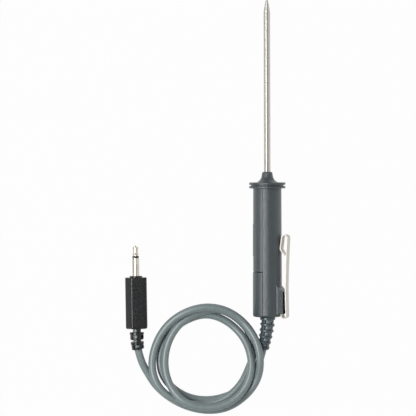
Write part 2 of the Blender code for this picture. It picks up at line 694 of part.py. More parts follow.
def relief_profile():
    """Foot inside the rear wall, neck, collar, then ribs that taper to the end, and the bore."""
    foot_low = GRIP_WALL + FIT
    foot_high = foot_low + RELIEF_FOOT_THICKNESS
    points = [(CABLE_BORE, foot_high), (RELIEF_FOOT_RADIUS, foot_high), (RELIEF_FOOT_RADIUS, foot_low)]
    points += [(RELIEF_NECK_RADIUS, foot_low), (RELIEF_NECK_RADIUS, -FIT), (RELIEF_COLLAR_RADIUS, -FIT)]
    collar_end = FIT + RELIEF_COLLAR_LENGTH
    points += [(RELIEF_COLLAR_RADIUS, -collar_end)]
    groove = RELIEF_WINDOW_HEIGHT + 2 * RELIEF_LEDGE
    for i in range(RELIEF_WINDOWS):
        top = collar_end if i == 0 else RELIEF_FIRST_WINDOW + i * RELIEF_PITCH - groove / 2
        low = RELIEF_FIRST_WINDOW + i * RELIEF_PITCH + groove / 2
        points.append((relief_radius(top) - RELIEF_GROOVE_DEPTH, -top))
        points.append((relief_radius(low) - RELIEF_GROOVE_DEPTH, -low))
        points.append((relief_radius(low), -low))
        ring_end = RELIEF_LENGTH if i == RELIEF_WINDOWS - 1 else low + RELIEF_PITCH - groove
        points.append((relief_radius(ring_end), -ring_end))
    points += [(CABLE_BORE, -RELIEF_LENGTH)]
    for i in reversed(range(RELIEF_WINDOWS)):
        points.append((CABLE_BORE, -(RELIEF_FIRST_WINDOW + i * RELIEF_PITCH)))
    points += [(CABLE_BORE, 0)]
    return points


def build_relief(path, side):
    item = turned("relief_straight", relief_profile(), None, None, steps=32)
    for i in range(RELIEF_WINDOWS):
        share = i / (RELIEF_WINDOWS - 1)
        half = RELIEF_WINDOW_WIDTH * (1 - RELIEF_WINDOW_TAPER * share) / 2
        top = RELIEF_WINDOW_HEIGHT / 2 - RELIEF_FIRST_WINDOW - i * RELIEF_PITCH
        low, high = (-half, -REACH, top - RELIEF_WINDOW_HEIGHT), (half, REACH, top)
        for turn in (RELIEF_ROLL, RELIEF_ROLL + math.pi / 2):
            window = box(f"relief_window_{i}", low, high, None, None, turn)
            change(item, make_cutter(window), "DIFFERENCE")
    mesh = fixed_mesh(item)
    mesh.name = "strain_relief"
    for tool in [modifier.object for modifier in item.modifiers if modifier.type == "BOOLEAN"]:
        bpy.data.objects.remove(tool)
    bpy.data.objects.remove(item)
    mesh.materials.clear()
    lay_along(mesh, path, side, CABLE_INNER_END)
    smooth_shading(mesh)
    return add_object("strain_relief", mesh, None, relief_plastic)


def build_grip_wiring():
    """The clamp on the cable, its two cores, and the sleeves over the soldered joints."""
    low = GRIP_WALL + FIT + RELIEF_FOOT_THICKNESS + FIT
    high = low + CLAMP_LENGTH
    inner = CABLE_RADIUS + SNUG
    outer = inner + CLAMP_WALL
    profile = [(inner, high), (outer, high), (outer, low), (inner, low)]
    turned("cable_clamp", profile, probe_axis, terminal_brass, steps=SMALL_STEPS)
    for name, side, material in (("a", 1, red_wire), ("b", -1, white_wire)):
        spread = SPLICE_SPREAD * side
        path = [(CORE_SPREAD * side, 0, CABLE_INNER_END + SNUG)]
        path += [(CORE_SPREAD * side, 0, CABLE_INNER_END + SPLICE_ENTRY)]
        path += [(spread, 0, SPLICE_START - SPLICE_ENTRY), (spread, 0, SPLICE_START + SPLICE_ENTRY)]
        wire("handle_core_" + name, path, CORE_RADIUS, material, probe_axis, bevel=1)
        bore = CORE_RADIUS + SNUG
        outer = bore + SPLICE_WALL
        top = SPLICE_START + SPLICE_LENGTH
        profile = [(bore, top), (outer, top), (outer, SPLICE_START), (bore, SPLICE_START)]
        sleeve = turned("splice_sleeve_" + name, profile, probe_axis, shrink_sleeve, steps=16)
        sleeve.location.x = spread


def build_contacts():
    """Tip with its rod, insulator with its ring, and the sleeve contact of the plug."""
    ring_low = SLEEVE_LENGTH + SNUG
    ring_high = ring_low + RING_LENGTH - 2 * SNUG
    head_low = ring_high + SNUG
    top = head_low + HEAD_LENGTH
    head = [(0, top)]
    for share, radius in (
        (0.03, 0.6 * HEAD_NUB_RADIUS),
        (0.09, HEAD_NUB_RADIUS),
        (0.12, HEAD_NUB_RADIUS),
        (0.19, HEAD_RADIUS),
        (0.26, HEAD_RADIUS),
        (0.66, HEAD_WAIST_RADIUS),
        (0.74, HEAD_WAIST_RADIUS),
        (0.83, HEAD_SHOULDER_RADIUS),
        (0.88, HEAD_SHOULDER_RADIUS),
        (0.94, 2 * HEAD_NUB_RADIUS),
        (1.0, 2 * HEAD_NUB_RADIUS),
    ):
        head.append((radius, top - share * HEAD_LENGTH))
    head += [(ROD_RADIUS, head_low), (ROD_RADIUS, -ROD_REAR), (0, -ROD_REAR)]
    turned("plug_tip", head, plug_axis, nickel, steps=SMALL_STEPS)
    foot_top = -BODY_FRONT_WALL - FIT
    foot_low = foot_top - SLEEVE_FOOT_THICKNESS
    sleeve = [(SLEEVE_BORE_RADIUS, SLEEVE_LENGTH), (SLEEVE_RADIUS, SLEEVE_LENGTH)]
    sleeve += [(SLEEVE_RADIUS, foot_top), (SLEEVE_FOOT_RADIUS, foot_top)]
    sleeve += [(SLEEVE_FOOT_RADIUS, foot_low), (SLEEVE_BORE_RADIUS, foot_low)]
    turned("plug_sleeve", sleeve, plug_axis, nickel, steps=SMALL_STEPS)
    washer_top = foot_low - SNUG
    washer_low = washer_top - INSULATOR_FOOT_THICKNESS
    tube = [(INSULATOR_BORE_RADIUS, ring_high), (SLEEVE_RADIUS, ring_high)]
    tube += [(SLEEVE_RADIUS, ring_low), (INSULATOR_RADIUS, ring_low)]
    tube += [(INSULATOR_RADIUS, washer_top), (INSULATOR_FOOT_RADIUS, washer_top)]
    tube += [(INSULATOR_FOOT_RADIUS, washer_low), (INSULATOR_BORE_RADIUS, washer_low)]
    turned("plug_insulator", tube, plug_axis, ring_plastic, steps=SMALL_STEPS)
    return washer_top, washer_low


def lug_path(plate_z, near, reach, length, side):
    """A lug's middle line: a flat part across the axis, a bend, and a tongue to the rear."""
    bend_x = reach - LUG_BEND_RADIUS
    path = [(-near * side, plate_z), (bend_x * side, plate_z)]
    for a in np.linspace(90, 0, 4)[1:]:
        x = bend_x + LUG_BEND_RADIUS * math.cos(math.radians(a))
        path.append((x * side, plate_z - LUG_BEND_RADIUS + LUG_BEND_RADIUS * math.sin(math.radians(a))))
    path.append((reach * side, plate_z - length))
    return path if side < 0 else path[::-1]


def build_terminals(washer_top, washer_low):
    """Two lugs: one round the sleeve's foot, one on the tip's rod, each with its core."""
    ring_z = washer_top - LUG_THICKNESS / 2 - SNUG
    hole_radius = INSULATOR_FOOT_RADIUS + SNUG
    half = hole_radius + SLEEVE_LUG_BAND
    path = lug_path(ring_z, half, SLEEVE_LUG_REACH, SLEEVE_LUG_LENGTH, -1)
    sleeve_lug = strip("sleeve_terminal", path, 2 * half, LUG_THICKNESS, plug_axis, terminal_brass)
    cut_hole(sleeve_lug, hole_radius, ring_z)
    narrow = SLEEVE_LUG_REACH + LUG_THICKNESS
    low_z = ring_z - SLEEVE_LUG_LENGTH - FIT
    high_z = ring_z - LUG_BEND_RADIUS - LUG_THICKNESS
    for side in (-1, 1):
        near, far = sorted((side * LUG_WIDTH / 2, side * narrow))
        trim = box(f"lug_trim_{side + 1}", (-narrow, near, low_z), (0, far, high_z), plug_axis)
        change(sleeve_lug, make_cutter(trim), "DIFFERENCE")
    tip_z = washer_low - FIT - LUG_THICKNESS / 2
    path = lug_path(tip_z, ROD_RADIUS + 2 * LUG_THICKNESS, TIP_LUG_REACH, TIP_LUG_LENGTH, 1)
    tip_lug = strip("tip_terminal", path, LUG_WIDTH, LUG_THICKNESS, plug_axis, terminal_brass)
    cut_hole(tip_lug, ROD_RADIUS + SNUG, tip_z)
    cable_face = -CABLE_PLUG_END + SNUG
    for name, side, reach, front in (
        ("plug_core_a", 1, TIP_LUG_REACH, ROD_REAR + FIT),
        ("plug_core_b", -1, SLEEVE_LUG_REACH, ROD_REAR),
    ):
        beside = (reach - LUG_THICKNESS / 2 - PLUG_CORE_RADIUS - SNUG) * side
        bend_z = cable_face + PLUG_CORE_STRAIGHT
        path = [(CORE_SPREAD * side, 0, cable_face), (CORE_SPREAD * side, 0, bend_z)]
        path += [(beside, 0, bend_z + PLUG_CORE_SPREAD_LENGTH), (beside, 0, -front - PLUG_CORE_RADIUS)]
        wire(name, path, PLUG_CORE_RADIUS, red_wire if side > 0 else white_wire, plug_axis, bevel=1)


def cut_hole(item, radius, height):
    low, high = height - 2 * LUG_THICKNESS, height + 2 * LUG_THICKNESS
    shape = [(0, high), (radius, high), (radius, low), (0, low)]
    hole = turned("hole_in_" + item.name, shape, plug_axis, steps=16)
    change(item, make_cutter(hole), "DIFFERENCE")


def skeleton_radius(distance):
    share = distance / SKELETON_LENGTH
    return SKELETON_FRONT_RADIUS + (SKELETON_END_RADIUS - SKELETON_FRONT_RADIUS) * share


def body_block():
    """The eight-sided body with a small bevel in front and a wider one at the rear."""
    corner = BODY_ACROSS / 2 / math.cos(math.pi / 8)
    shape = bmesh.new()
    bmesh.ops.create_cone(
        shape, cap_ends=True, segments=8, radius1=corner, radius2=corner, depth=BODY_LENGTH
    )
    turn = Matrix.Rotation(math.pi / 8, 3, "Z")
    bmesh.ops.rotate(shape, cent=(0, 0, 0), matrix=turn, verts=shape.verts)
    bmesh.ops.translate(shape, vec=(0, 0, -BODY_LENGTH / 2), verts=shape.verts)
    for height, width in ((0.0, BODY_FRONT_EDGE), (-BODY_LENGTH, BODY_REAR_EDGE)):
        edges = [e for e in shape.edges if all(abs(v.co.z - height) < 1e-6 for v in e.verts)]
        bmesh.ops.bevel(shape, geom=edges, offset=width, segments=2, profile=0.5, affect="EDGES")
    mesh = bpy.data.meshes.new("plug_block")
    shape.to_mesh(mesh)
    shape.free()
    return add_object("plug_block", mesh)


def skeleton_cutters():
    """Openings of the skeleton, from the body to its end, in its own turned frame."""
    windows = -BODY_LENGTH - NECK_GAP - FRONT_BAND
    second_gap = -BODY_LENGTH - NECK_GAP - FIRST_SEGMENT
    end_window = second_gap - MIDDLE_GAP - FRONT_BAND
    blocks = []
    for i, (top, length) in enumerate(((-BODY_LENGTH, NECK_GAP), (second_gap, MIDDLE_GAP))):
        for side in (-1, 1):
            near, far = sorted((side * SPINE_WIDTH / 2, side * REACH))
            low, high = (near, -REACH, top - length), (far, REACH, top)
            blocks.append((f"gap_{i}_{side + 1}", low, high, SKELETON_ROLL))
    half = BAR_WINDOW_WIDTH / 2
    for i, turn in enumerate((math.pi / 4, -math.pi / 4)):
        low = (-half, -REACH, windows - BAR_WINDOW_LENGTH)
        blocks.append((f"bar_window_{i}", low, (half, REACH, windows), SKELETON_ROLL + turn))
    half = END_WINDOW_WIDTH / 2
    low = (-half, -REACH, end_window - END_WINDOW_LENGTH)
    blocks.append(("end_window", low, (half, REACH, end_window), SKELETON_ROLL + END_WINDOW_TURN))
    return [make_cutter(box(name, low, high, None, None, turn)) for name, low, high, turn in blocks]


def build_plug_body(path, side):
    item = body_block()
    boss_low = -BODY_FRONT_EDGE
    boss = [(0, BOSS_LENGTH), (BOSS_RADIUS - BODY_FRONT_EDGE / 2, BOSS_LENGTH)]
    boss += [(BOSS_RADIUS, BOSS_LENGTH - BODY_FRONT_EDGE / 2), (BOSS_RADIUS, boss_low), (0, boss_low)]
    change(item, make_cutter(turned("plug_boss", boss, None, None, SMALL_STEPS)), "UNION")
    root = -BODY_LENGTH + BODY_REAR_EDGE
    end = -BODY_LENGTH - SKELETON_LENGTH
    bars = [(0, root), (SKELETON_FRONT_RADIUS, root), (SKELETON_FRONT_RADIUS, -BODY_LENGTH)]
    for distance in np.linspace(0, SKELETON_LENGTH, SKELETON_STEPS + 1)[1:]:
        bars.append((skeleton_radius(distance), -BODY_LENGTH - distance))
    bars += [(0, end)]
    change(item, make_cutter(turned("plug_bars", bars, None, None, SMALL_STEPS)), "UNION")
    front = SLEEVE_RADIUS + FIT
    cavity_low = -BODY_FRONT_WALL - BODY_CAVITY_LENGTH
    bore = [(0, BOSS_LENGTH + FIT), (front, BOSS_LENGTH + FIT), (front, -BODY_FRONT_WALL)]
    bore += [(BODY_CAVITY_RADIUS, -BODY_FRONT_WALL), (BODY_CAVITY_RADIUS, cavity_low)]
    bore += [(CABLE_BORE, cavity_low)]
    bore_end = SKELETON_LENGTH + CABLE_RADIUS
    for distance in np.linspace(0, bore_end, SKELETON_STEPS + 2):
        bore.append((CABLE_BORE, -BODY_LENGTH - distance))
    bore += [(0, -BODY_LENGTH - bore_end)]
    change(item, make_cutter(turned("plug_bore", bore, None, None, SMALL_STEPS)), "DIFFERENCE")
    for tool in skeleton_cutters():
        change(item, tool, "DIFFERENCE")
    mesh = fixed_mesh(item)
    mesh.name = "plug_body"
    for tool in [modifier.object for modifier in item.modifiers]:
        bpy.data.objects.remove(tool)
    bpy.data.objects.remove(item)
    mesh.materials.clear()
    lay_along(mesh, path, side, BOSS_LENGTH + FINE_STEP)
    smooth_shading(mesh)
    return add_object("plug_body", mesh, None, plug_plastic)


def on_axis(frame, height):
    return np.array(frame.matrix_world @ Vector((0, 0, height)))


def loop_point(angle, distance, height):
    turn = math.radians(angle)
    x = LOOP_X + distance * MM * math.sin(turn)
    y = LOOP_Y + distance * MM * math.cos(turn)
    return (x, y, height * MM)


def cable_route():
    """Points from inside the grip, out through its relief, round the loops and into the plug."""
    heights = (CABLE_INNER_END, CABLE_INNER_END / 2, 0, -CABLE_LEAD_OUT)
    points = [on_axis(probe_axis, height) for height in heights]
    points += [(x * MM, y * MM, z * MM) for x, y, z in ROUTE_FROM_GRIP]
    points += [loop_point(*turn) for turn in ROUTE_TURNS]
    points += [(x * MM, y * MM, z * MM) for x, y, z in ROUTE_TO_PLUG]
    between = (BODY_LENGTH + CABLE_PLUG_END) / 2
    for distance in (BODY_LENGTH + CABLE_LEAD_OUT, BODY_LENGTH, between, CABLE_PLUG_END):
        points.append(on_axis(plug_axis, -distance))
    return points


def build_cable(points):
    """The cable's points lie closer together where it runs inside its two reliefs."""
    fine = smooth_path(points, FINE_STEP)
    run = np.concatenate([[0.0], np.cumsum(np.linalg.norm(np.diff(fine, axis=0), axis=1))])
    ends = np.arange(0, CABLE_END_LENGTH, CABLE_END_STEP)
    count = round((run[-1] - 2 * CABLE_END_LENGTH) / CABLE_STEP)
    middle = np.linspace(CABLE_END_LENGTH, run[-1] - CABLE_END_LENGTH, count + 1)
    places = np.concatenate([ends, middle, run[-1] - ends[::-1]])
    path = np.stack([np.interp(places, run, fine[:, axis]) for axis in range(3)], axis=1)
    wire("cable", [tuple(place) for place in path], CABLE_RADIUS, cable_jacket)


clear_scene()
parts = new_collection("temperature_probe")
cutters = new_collection("cutters")

stainless = new_material("stainless_tube", (0.62, 0.61, 0.59), 0.22, 1.0)
clip_steel = new_material("clip_steel", (0.68, 0.66, 0.62), 0.35, 1.0)
grip_plastic = new_material("grip_plastic", (0.085, 0.102, 0.112), 0.5)
relief_plastic = new_material("relief_plastic", (0.06, 0.08, 0.092), 0.5)
cable_jacket = new_material("cable_jacket", (0.215, 0.25, 0.25), 0.5)
plug_plastic = new_material("plug_plastic", (0.02, 0.021, 0.022), 0.55)
ring_plastic = new_material("ring_plastic", (0.012, 0.012, 0.012), 0.3)
nickel = new_material("nickel_contact", (0.66, 0.62, 0.55), 0.2, 1.0)
terminal_brass = new_material("terminal_brass", (0.7, 0.5, 0.2), 0.35, 1.0)
bead_resin = new_material("bead_resin", (0.05, 0.04, 0.035), 0.4)
clear_ptfe = new_material("liner_ptfe", (0.75, 0.74, 0.7), 0.45)
red_wire = new_material("red_wire", (0.45, 0.03, 0.025), 0.45)
white_wire = new_material("white_wire", (0.7, 0.7, 0.67), 0.45)
shrink_sleeve = new_material("shrink_sleeve", (0.02, 0.02, 0.02), 0.5)

# The probe's own Z runs to its tip, and its -Y faces up from the table
probe_axis = new_empty("probe_axis", (PROBE_X, PROBE_Y, AXIS_HEIGHT), (TILT - math.pi / 2, 0, 0))
seam_frame = new_empty("seam_frame", (0, 0, 0), (0, 0, SEAM_TURN), probe_axis)
plug_axis = new_empty("plug_axis", (PLUG_X, PLUG_Y, BODY_ACROSS / 2), (-math.pi / 2, 0, PLUG_YAW))
bpy.context.view_layer.update()

route = cable_route()
plug_heights = np.arange(BOSS_LENGTH + FINE_STEP, -CABLE_PLUG_END, -FINE_STEP)
plug_line = [on_axis(plug_axis, height) for height in plug_heights]
grip_side = np.array(probe_axis.matrix_world.to_3x3() @ Vector((1, 0, 0)))
plug_side = np.array(plug_axis.matrix_world.to_3x3() @ Vector((1, 0, 0)))
fine_route = smooth_path(route, 2 * FINE_STEP)

build_tube()
build_sensor()
build_tube_collar()
build_grip_right()
build_pad(build_grip_left())
build_cover()
build_clip()
build_relief(fine_route, grip_side)
build_grip_wiring()
build_cable(route)
tops = build_contacts()
build_terminals(*tops)
build_plug_body(np.concatenate([plug_line, fine_route[::-1]]), plug_side)
bpy.context.view_layer.update()
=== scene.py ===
"""Looks of a penetration temperature probe with a pocket clip, a looped cable and a jack plug.
It lies on a pale floor and is seen from straight above. Lengths are in metres."""

import math

import bpy
import numpy as np
from mathutils import Matrix, Vector


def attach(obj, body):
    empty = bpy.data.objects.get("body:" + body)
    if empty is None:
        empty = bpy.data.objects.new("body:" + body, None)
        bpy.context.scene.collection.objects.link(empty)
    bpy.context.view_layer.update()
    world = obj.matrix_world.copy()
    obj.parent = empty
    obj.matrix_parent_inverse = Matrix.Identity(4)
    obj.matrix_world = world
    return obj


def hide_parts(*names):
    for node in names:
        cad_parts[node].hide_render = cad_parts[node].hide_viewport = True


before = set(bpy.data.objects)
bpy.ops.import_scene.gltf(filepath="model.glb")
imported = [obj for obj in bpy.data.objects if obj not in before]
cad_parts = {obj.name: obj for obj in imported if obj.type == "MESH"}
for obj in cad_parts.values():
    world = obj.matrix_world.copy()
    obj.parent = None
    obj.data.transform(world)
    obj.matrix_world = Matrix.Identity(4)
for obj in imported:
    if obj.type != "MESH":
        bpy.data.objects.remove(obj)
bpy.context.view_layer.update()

MM = 0.001

# Grip
GRIP_LENGTH = 0.0675
GRIP_FRONT_RADIUS = 0.00743
GRIP_REAR_RADIUS = 0.0076
GRIP_WALL = 0.0016
CAVITY_RADIUS = GRIP_FRONT_RADIUS - GRIP_WALL
REAR_EDGE_RADIUS = 0.001
FLANGE_RADIUS = 0.00957
FLANGE_THICKNESS = 0.0031
RIM_EDGE_RADIUS = 0.0004
GROOVE_WIDTH = 0.0006
GROOVE_DEPTH = 0.001
NOSE_LENGTH = 0.00555
NOSE_TIP_RADIUS = 0.0027
NOSE_FOOT_RADIUS = 0.0058
NOSE_FLARE = 0.0014
NOSE_STEPS = 16
NOSE_STEP_GROWTH = 8
NOSE_EDGE_RADIUS = 0.0006
NOSE_BORE_LENGTH = 0.011
FLANGE_TOP = GRIP_LENGTH + FLANGE_THICKNESS
NOSE_TOP = FLANGE_TOP + NOSE_LENGTH
WEB_INSET = 0.001
WEB_THICKNESS = 0.0014
WEB_SPACING = 0.005
SEAM_TURN = math.radians(-21)
SEAM_GAP = 0.0001
SEAM_EDGE = 0.00012
SEAM_OUTSIDE = 0.0073
COVER_LENGTH = 0.0236
COVER_PROUD = 0.00016
COVER_GAP = 0.0003
COVER_EDGE = 0.0003
COVER_EDGE_START = 67
PAD_REAR = 0.032
PAD_LENGTH = 0.0168
PAD_WIDTH = 0.0086
PAD_PROUD = 0.00016

# Tube
TUBE_RADIUS = 0.00165
TUBE_WALL = 0.0003
TUBE_BORE = TUBE_RADIUS + 0.00012
TUBE_REAR = NOSE_TOP - 0.025
TIP_END = NOSE_TOP + 0.09085
POINT_LENGTH = 0.0071
POINT_FULLNESS = 0.57
POINT_SOLID_LENGTH = 0.0085
POINT_SHARES = (0.004, 0.015, 0.035, 0.06, 0.1, 0.16, 0.23, 0.3, 0.4, 0.5, 0.6, 0.7, 0.8, 0.9, 1.0)

# Clip and its block, with a shallow recess in the block's outer face, below the clip. The recess's floor
# carries painted shade, a near-black material standing in for the shadow under the clip.
BLOCK_ROOT_RADIUS = 0.0061
BLOCK_WIDTH = 0.00814
BLOCK_SHOULDER_RADIUS = 0.00698
BLOCK_REACH = 0.0096
BLOCK_DRAFT = math.radians(21)
BLOCK_REAR = 0.0016
BLOCK_LENGTH = 0.0141
BLOCK_SLOPE = 0.0024
BLOCK_OUTER_EDGE = 0.00018
BLOCK_FRONT_EDGE = 0.0002
SLOT_DEPTH = 0.0066
SLOT_FIT = 0.00015
RECESS_DEPTH = 0.0005
RECESS_WIDTH = 0.0056
CLIP_WIDTH = 0.0047
CLIP_THICKNESS = 0.0006
CLIP_EDGE = CLIP_THICKNESS / 5
CLIP_SHARP = math.radians(50)
CLIP_SEAT_RADIUS = 0.0083
CLIP_LEG_RADIUS = 0.01098
CLIP_WAIST_RADIUS = 0.01066
CLIP_WAIST_HEIGHT = 0.014
CLIP_LEG_CURVE = 1.6
CLIP_REAR_STAND = 0.0008
CLIP_REAR_BEND_START = 190
CLIP_LEG_STEPS = 20
CLIP_BEND_STEPS = 16
CLIP_FOLD_REACH = 0.01168
CLIP_FOLD_HEIGHT = 0.0431
CLIP_FOLD_RADIUS = 0.0015
CLIP_ARM_LEAN = 9
CLIP_NIP_STEPS = 12
CLIP_NIP_HEIGHT = 0.0360
CLIP_NIP_RADIUS = 0.0015
CLIP_NIP_GAP = 0.0001
CLIP_LIP_REACH = 0.00225
CLIP_LIP_DROP = 0.00345

# Strain relief of the grip
RELIEF_COLLAR_RADIUS = 0.00405
RELIEF_COLLAR_LENGTH = 0.00135
RELIEF_STAND = 0.0003
RELIEF_NECK_RADIUS = 0.0033
RELIEF_FOOT_RADIUS = 0.0046
RELIEF_FOOT_THICKNESS = 0.0015
RELIEF_LENGTH = 0.017
RELIEF_FRONT_RADIUS = 0.004
RELIEF_END_RADIUS = 0.0032
RELIEF_TAPER_CURVE = 1.2
RELIEF_GROOVE_DEPTH = 0.00015
RELIEF_PITCH = 0.00307
RELIEF_FIRST_WINDOW = 0.00265
RELIEF_WINDOWS = 5
RELIEF_WINDOW_HEIGHT = 0.0018
RELIEF_LEDGE = 0.00006
RELIEF_WINDOW_WIDTH = 0.0039
RELIEF_WINDOW_TAPER = 0.25
RELIEF_ROLL = math.radians(6)
RELIEF_EDGE = 0.0002

# Cable and plug
CABLE_RADIUS = 0.002
CABLE_BORE = 0.0023
CABLE_INNER_END = 0.009
CABLE_LEAD_OUT = 0.003
CABLE_PLUG_END = 0.0193
PLUG_LINE_START = 0.00105
BODY_SIDES = 8
BODY_ACROSS = 0.0113
BODY_LENGTH = 0.0271
BODY_FRONT_WALL = 0.0012
BODY_SIDE_EDGE = 0.0004
BODY_FRONT_EDGE = 0.0004
BODY_REAR_EDGE = 0.0010
BODY_CAVITY_RADIUS = 0.0036
BODY_CAVITY_LENGTH = 0.0193
BOSS_RADIUS = 0.0034
BOSS_LENGTH = 0.0008
NECK_GAP = 0.00175
FRONT_BAND = 0.0014
BAR_WINDOW_LENGTH = 0.0015
BAR_WINDOW_WIDTH = 0.0032
THIN_BAND = 0.00095
MIDDLE_GAP = 0.00115
END_WINDOW_LENGTH = 0.00135
END_WINDOW_WIDTH = 0.0038
END_WINDOW_TURN = math.radians(-25)
END_BAND = 0.00115
SKELETON_ROLL = math.radians(21)
SKELETON_FRONT_RADIUS = 0.00385
SKELETON_END_RADIUS = 0.0033
SKELETON_EDGE = 0.00022
SPINE_WIDTH = 0.0021
SLEEVE_RADIUS = 0.00175
SLEEVE_LENGTH = 0.0103
SLEEVE_BORE_RADIUS = 0.00125
SLEEVE_FOOT_RADIUS = 0.0031
SLEEVE_FOOT_THICKNESS = 0.001
RING_LENGTH = 0.0011
CONTACT_GAP = 0.0001
CONTACT_EDGE = 0.0001
INSULATOR_RADIUS = 0.0011
INSULATOR_BORE_RADIUS = 0.0008
INSULATOR_FOOT_RADIUS = 0.0015
INSULATOR_FOOT_THICKNESS = 0.0008
HEAD_LENGTH = 0.00545
ROD_RADIUS = 0.0006
ROD_REAR = 0.006

# The contact's head: share of its length behind its end, and radius in millimetres
HEAD_SHAPE = [
    (0.0, 0.0), (0.01, 0.2), (0.04, 0.4), (0.09, 0.55), (0.12, 0.57), (0.145, 0.9), (0.175, 1.28),
    (0.2, 1.42), (0.225, 1.45), (0.26, 1.44), (0.4, 1.35), (0.55, 1.25), (0.66, 1.2), (0.73, 1.2),
    (0.79, 1.42), (0.83, 1.58), (0.865, 1.6), (0.9, 1.5), (0.94, 1.1), (1.0, 1.1),
]

# How far a cutting block reaches past what it cuts, and how near a corner is to a plane that it lies on
REACH = 0.03
NEAR = MM / 100

# Steps along the cable's route: while it is worked out, of the jacket, of the reliefs' bend and of the plug's
ROUTE_STEP = 0.00025
JACKET_STEP = 0.0016
FINE_STEP = 0.0004
PLUG_LINE_STEP = 0.00025

# Steps round the turned pieces, and along the rounded edges of their outlines
GRIP_STEPS = 96
TUBE_STEPS = 72
SMALL_STEPS = 64
NOSE_EDGE_STEPS = 7
RIM_STEPS = 6
REAR_EDGE_STEPS = 8
COVER_EDGE_STEPS = 4
BORE_STEPS = 9
JACKET_ROUNDING = 6

# Corners nearer than this are one corner
SAME_PLACE = 0.000001

# Edges that bend by less than this are shaded smooth. The block's sides need a lower limit.
SMOOTH_DEGREES = 32
BLOCK_SMOOTH_DEGREES = 20

# Camera, straight above, as the photograph shows next to no perspective
CAMERA_LENS = 197.3
CAMERA_SENSOR = 36
CAMERA_PLACE = (-0.03241, -0.0258, 1.2075)
CAMERA_ROLL = math.radians(-0.19)
CAMERA_SIGHT = 50

# Floor: white to the camera and in reflections, grey to other light, so that it lights the object little
FLOOR_SIZE = 8
FLOOR_PARTS = 8
FLOOR_DROP = 0.00005
FLOOR_GLOW = 0.98
FLOOR_GREY = (0.2, 0.2, 0.2)
FLOOR_ROUGHNESS = 0.9

# Air: colour and place on the scale from left (0) to right (1)
LEFT_AIR, LEFT_STOP = (0.20, 0.19, 0.18), 0.08
TOP_AIR, TOP_STOP = (0.28, 0.28, 0.28), 0.5
RIGHT_AIR, RIGHT_STOP = (0.70, 0.70, 0.69), 0.95

# Key lamp: a soft box that is long in Y, left of the object
KEY_ANGLE = math.radians(-34)
KEY_SPAN = math.radians(21)
KEY_LENGTH = 0.8
KEY_RADIANCE = 8.8
KEY_DISTANCE = 1.0
KEY_Y = -0.02

# Where the probe and the plug lie. Each frame's Z runs along its piece, and its -Y faces up.
COVER_RADIUS = GRIP_REAR_RADIUS + COVER_PROUD
TILT = math.atan((FLANGE_RADIUS - COVER_RADIUS) / (GRIP_LENGTH + RIM_EDGE_RADIUS - REAR_EDGE_RADIUS))
AXIS_HEIGHT = COVER_RADIUS * math.cos(TILT) - REAR_EDGE_RADIUS * math.sin(TILT)
PROBE = Matrix.Translation((-0.001228, -0.08305, AXIS_HEIGHT)) @ Matrix.Rotation(TILT - math.pi / 2, 4, "X")
SEAM = PROBE @ Matrix.Rotation(SEAM_TURN, 4, "Z")
PLUG_TURN = Matrix.Rotation(math.radians(0.75), 4, "Z") @ Matrix.Rotation(-math.pi / 2, 4, "X")
PLUG = Matrix.Translation((-0.07052, -0.06228, BODY_ACROSS / 2)) @ PLUG_TURN

# The cable's route, as in the part's source: millimetres for the points, and for each point of
# the turns the angle from +Y, the distance from the loop's middle and the height
LOOP_X = -0.03366
LOOP_Y = -0.10517
ROUTE_FROM_GRIP = [
    (-1.49, -88.2, 7.56),
    (-1.91, -91.3, 7.3),
    (-2.51, -94.5, 6.75),
    (-3.21, -98.0, 5.85),
    (-4.11, -101.9, 4.45),
    (-5.21, -105.9, 3.15),
]
ROUTE_TURNS = [
    (104, 27.2, 2.4), (120, 25.4, 2.15), (137, 23.8, 2.0), (157, 22.5, 2.0), (180, 22.05, 2.0),
    (203, 22.5, 2.0), (225, 23.4, 2.0), (248, 24.5, 2.0), (270, 24.4, 2.0), (291, 23.7, 2.0),
    (314, 22.9, 2.0), (338, 22.6, 2.0), (361, 22.9, 2.0), (382, 22.4, 2.0), (402, 22.1, 2.15),
    (420, 22.4, 3.55), (435, 22.9, 5.65), (450, 23.6, 7.4), (465, 24.45, 8.6), (481, 25.15, 8.9),
    (500, 25.7, 9.15), (520, 25.75, 9.5), (540, 25.5, 9.8), (558, 25.2, 9.95), (573, 24.75, 9.7),
    (586, 24.0, 8.6), (601, 23.05, 6.9), (617, 22.2, 6.2), (636, 21.6, 6.2), (656, 21.7, 6.25),
    (674, 22.35, 6.3), (690, 23.2, 6.25), (706, 24.25, 5.95), (720, 25.4, 5.4), (736, 26.55, 4.0),
    (755, 26.6, 2.5), (775, 26.4, 2.0), (793, 25.6, 2.05), (811, 24.3, 2.75), (826, 22.9, 4.2),
    (842, 22.6, 5.6), (860, 22.7, 6.25), (880, 23.25, 6.15), (900, 23.9, 5.85), (915, 24.95, 5.7),
    (930, 26.4, 5.95), (944, 27.8, 6.2), (955, 28.75, 6.2), (967, 29.1, 6.1), (981, 28.8, 5.4),
    (997, 27.9, 4.9), (1015, 27.15, 5.9), (1035, 26.8, 7.7), (1056, 26.75, 9.1), (1080, 27.2, 9.3),
    (1100, 27.4, 8.3), (1121, 27.4, 6.9), (1140, 27.6, 8.1), (1155, 27.95, 10.05), (1165, 28.2, 10.45),
    (1175, 28.45, 9.95), (1186, 28.8, 8.4), (1200, 28.8, 6.35), (1217, 28.45, 4.2), (1238, 28.2, 2.5),
    (1260, 27.5, 2.0), (1275, 27.25, 2.0), (1291, 27.6, 2.0), (1309, 28.8, 2.0), (1325, 30.5, 2.05),
]
ROUTE_TO_PLUG = [
    (-64.36, -113.2, 2.4),
    (-66.61, -109.2, 3.0),
    (-68.16, -105.3, 3.9),
    (-69.31, -101.0, 4.75),
    (-69.86, -97.3, 5.3),
]


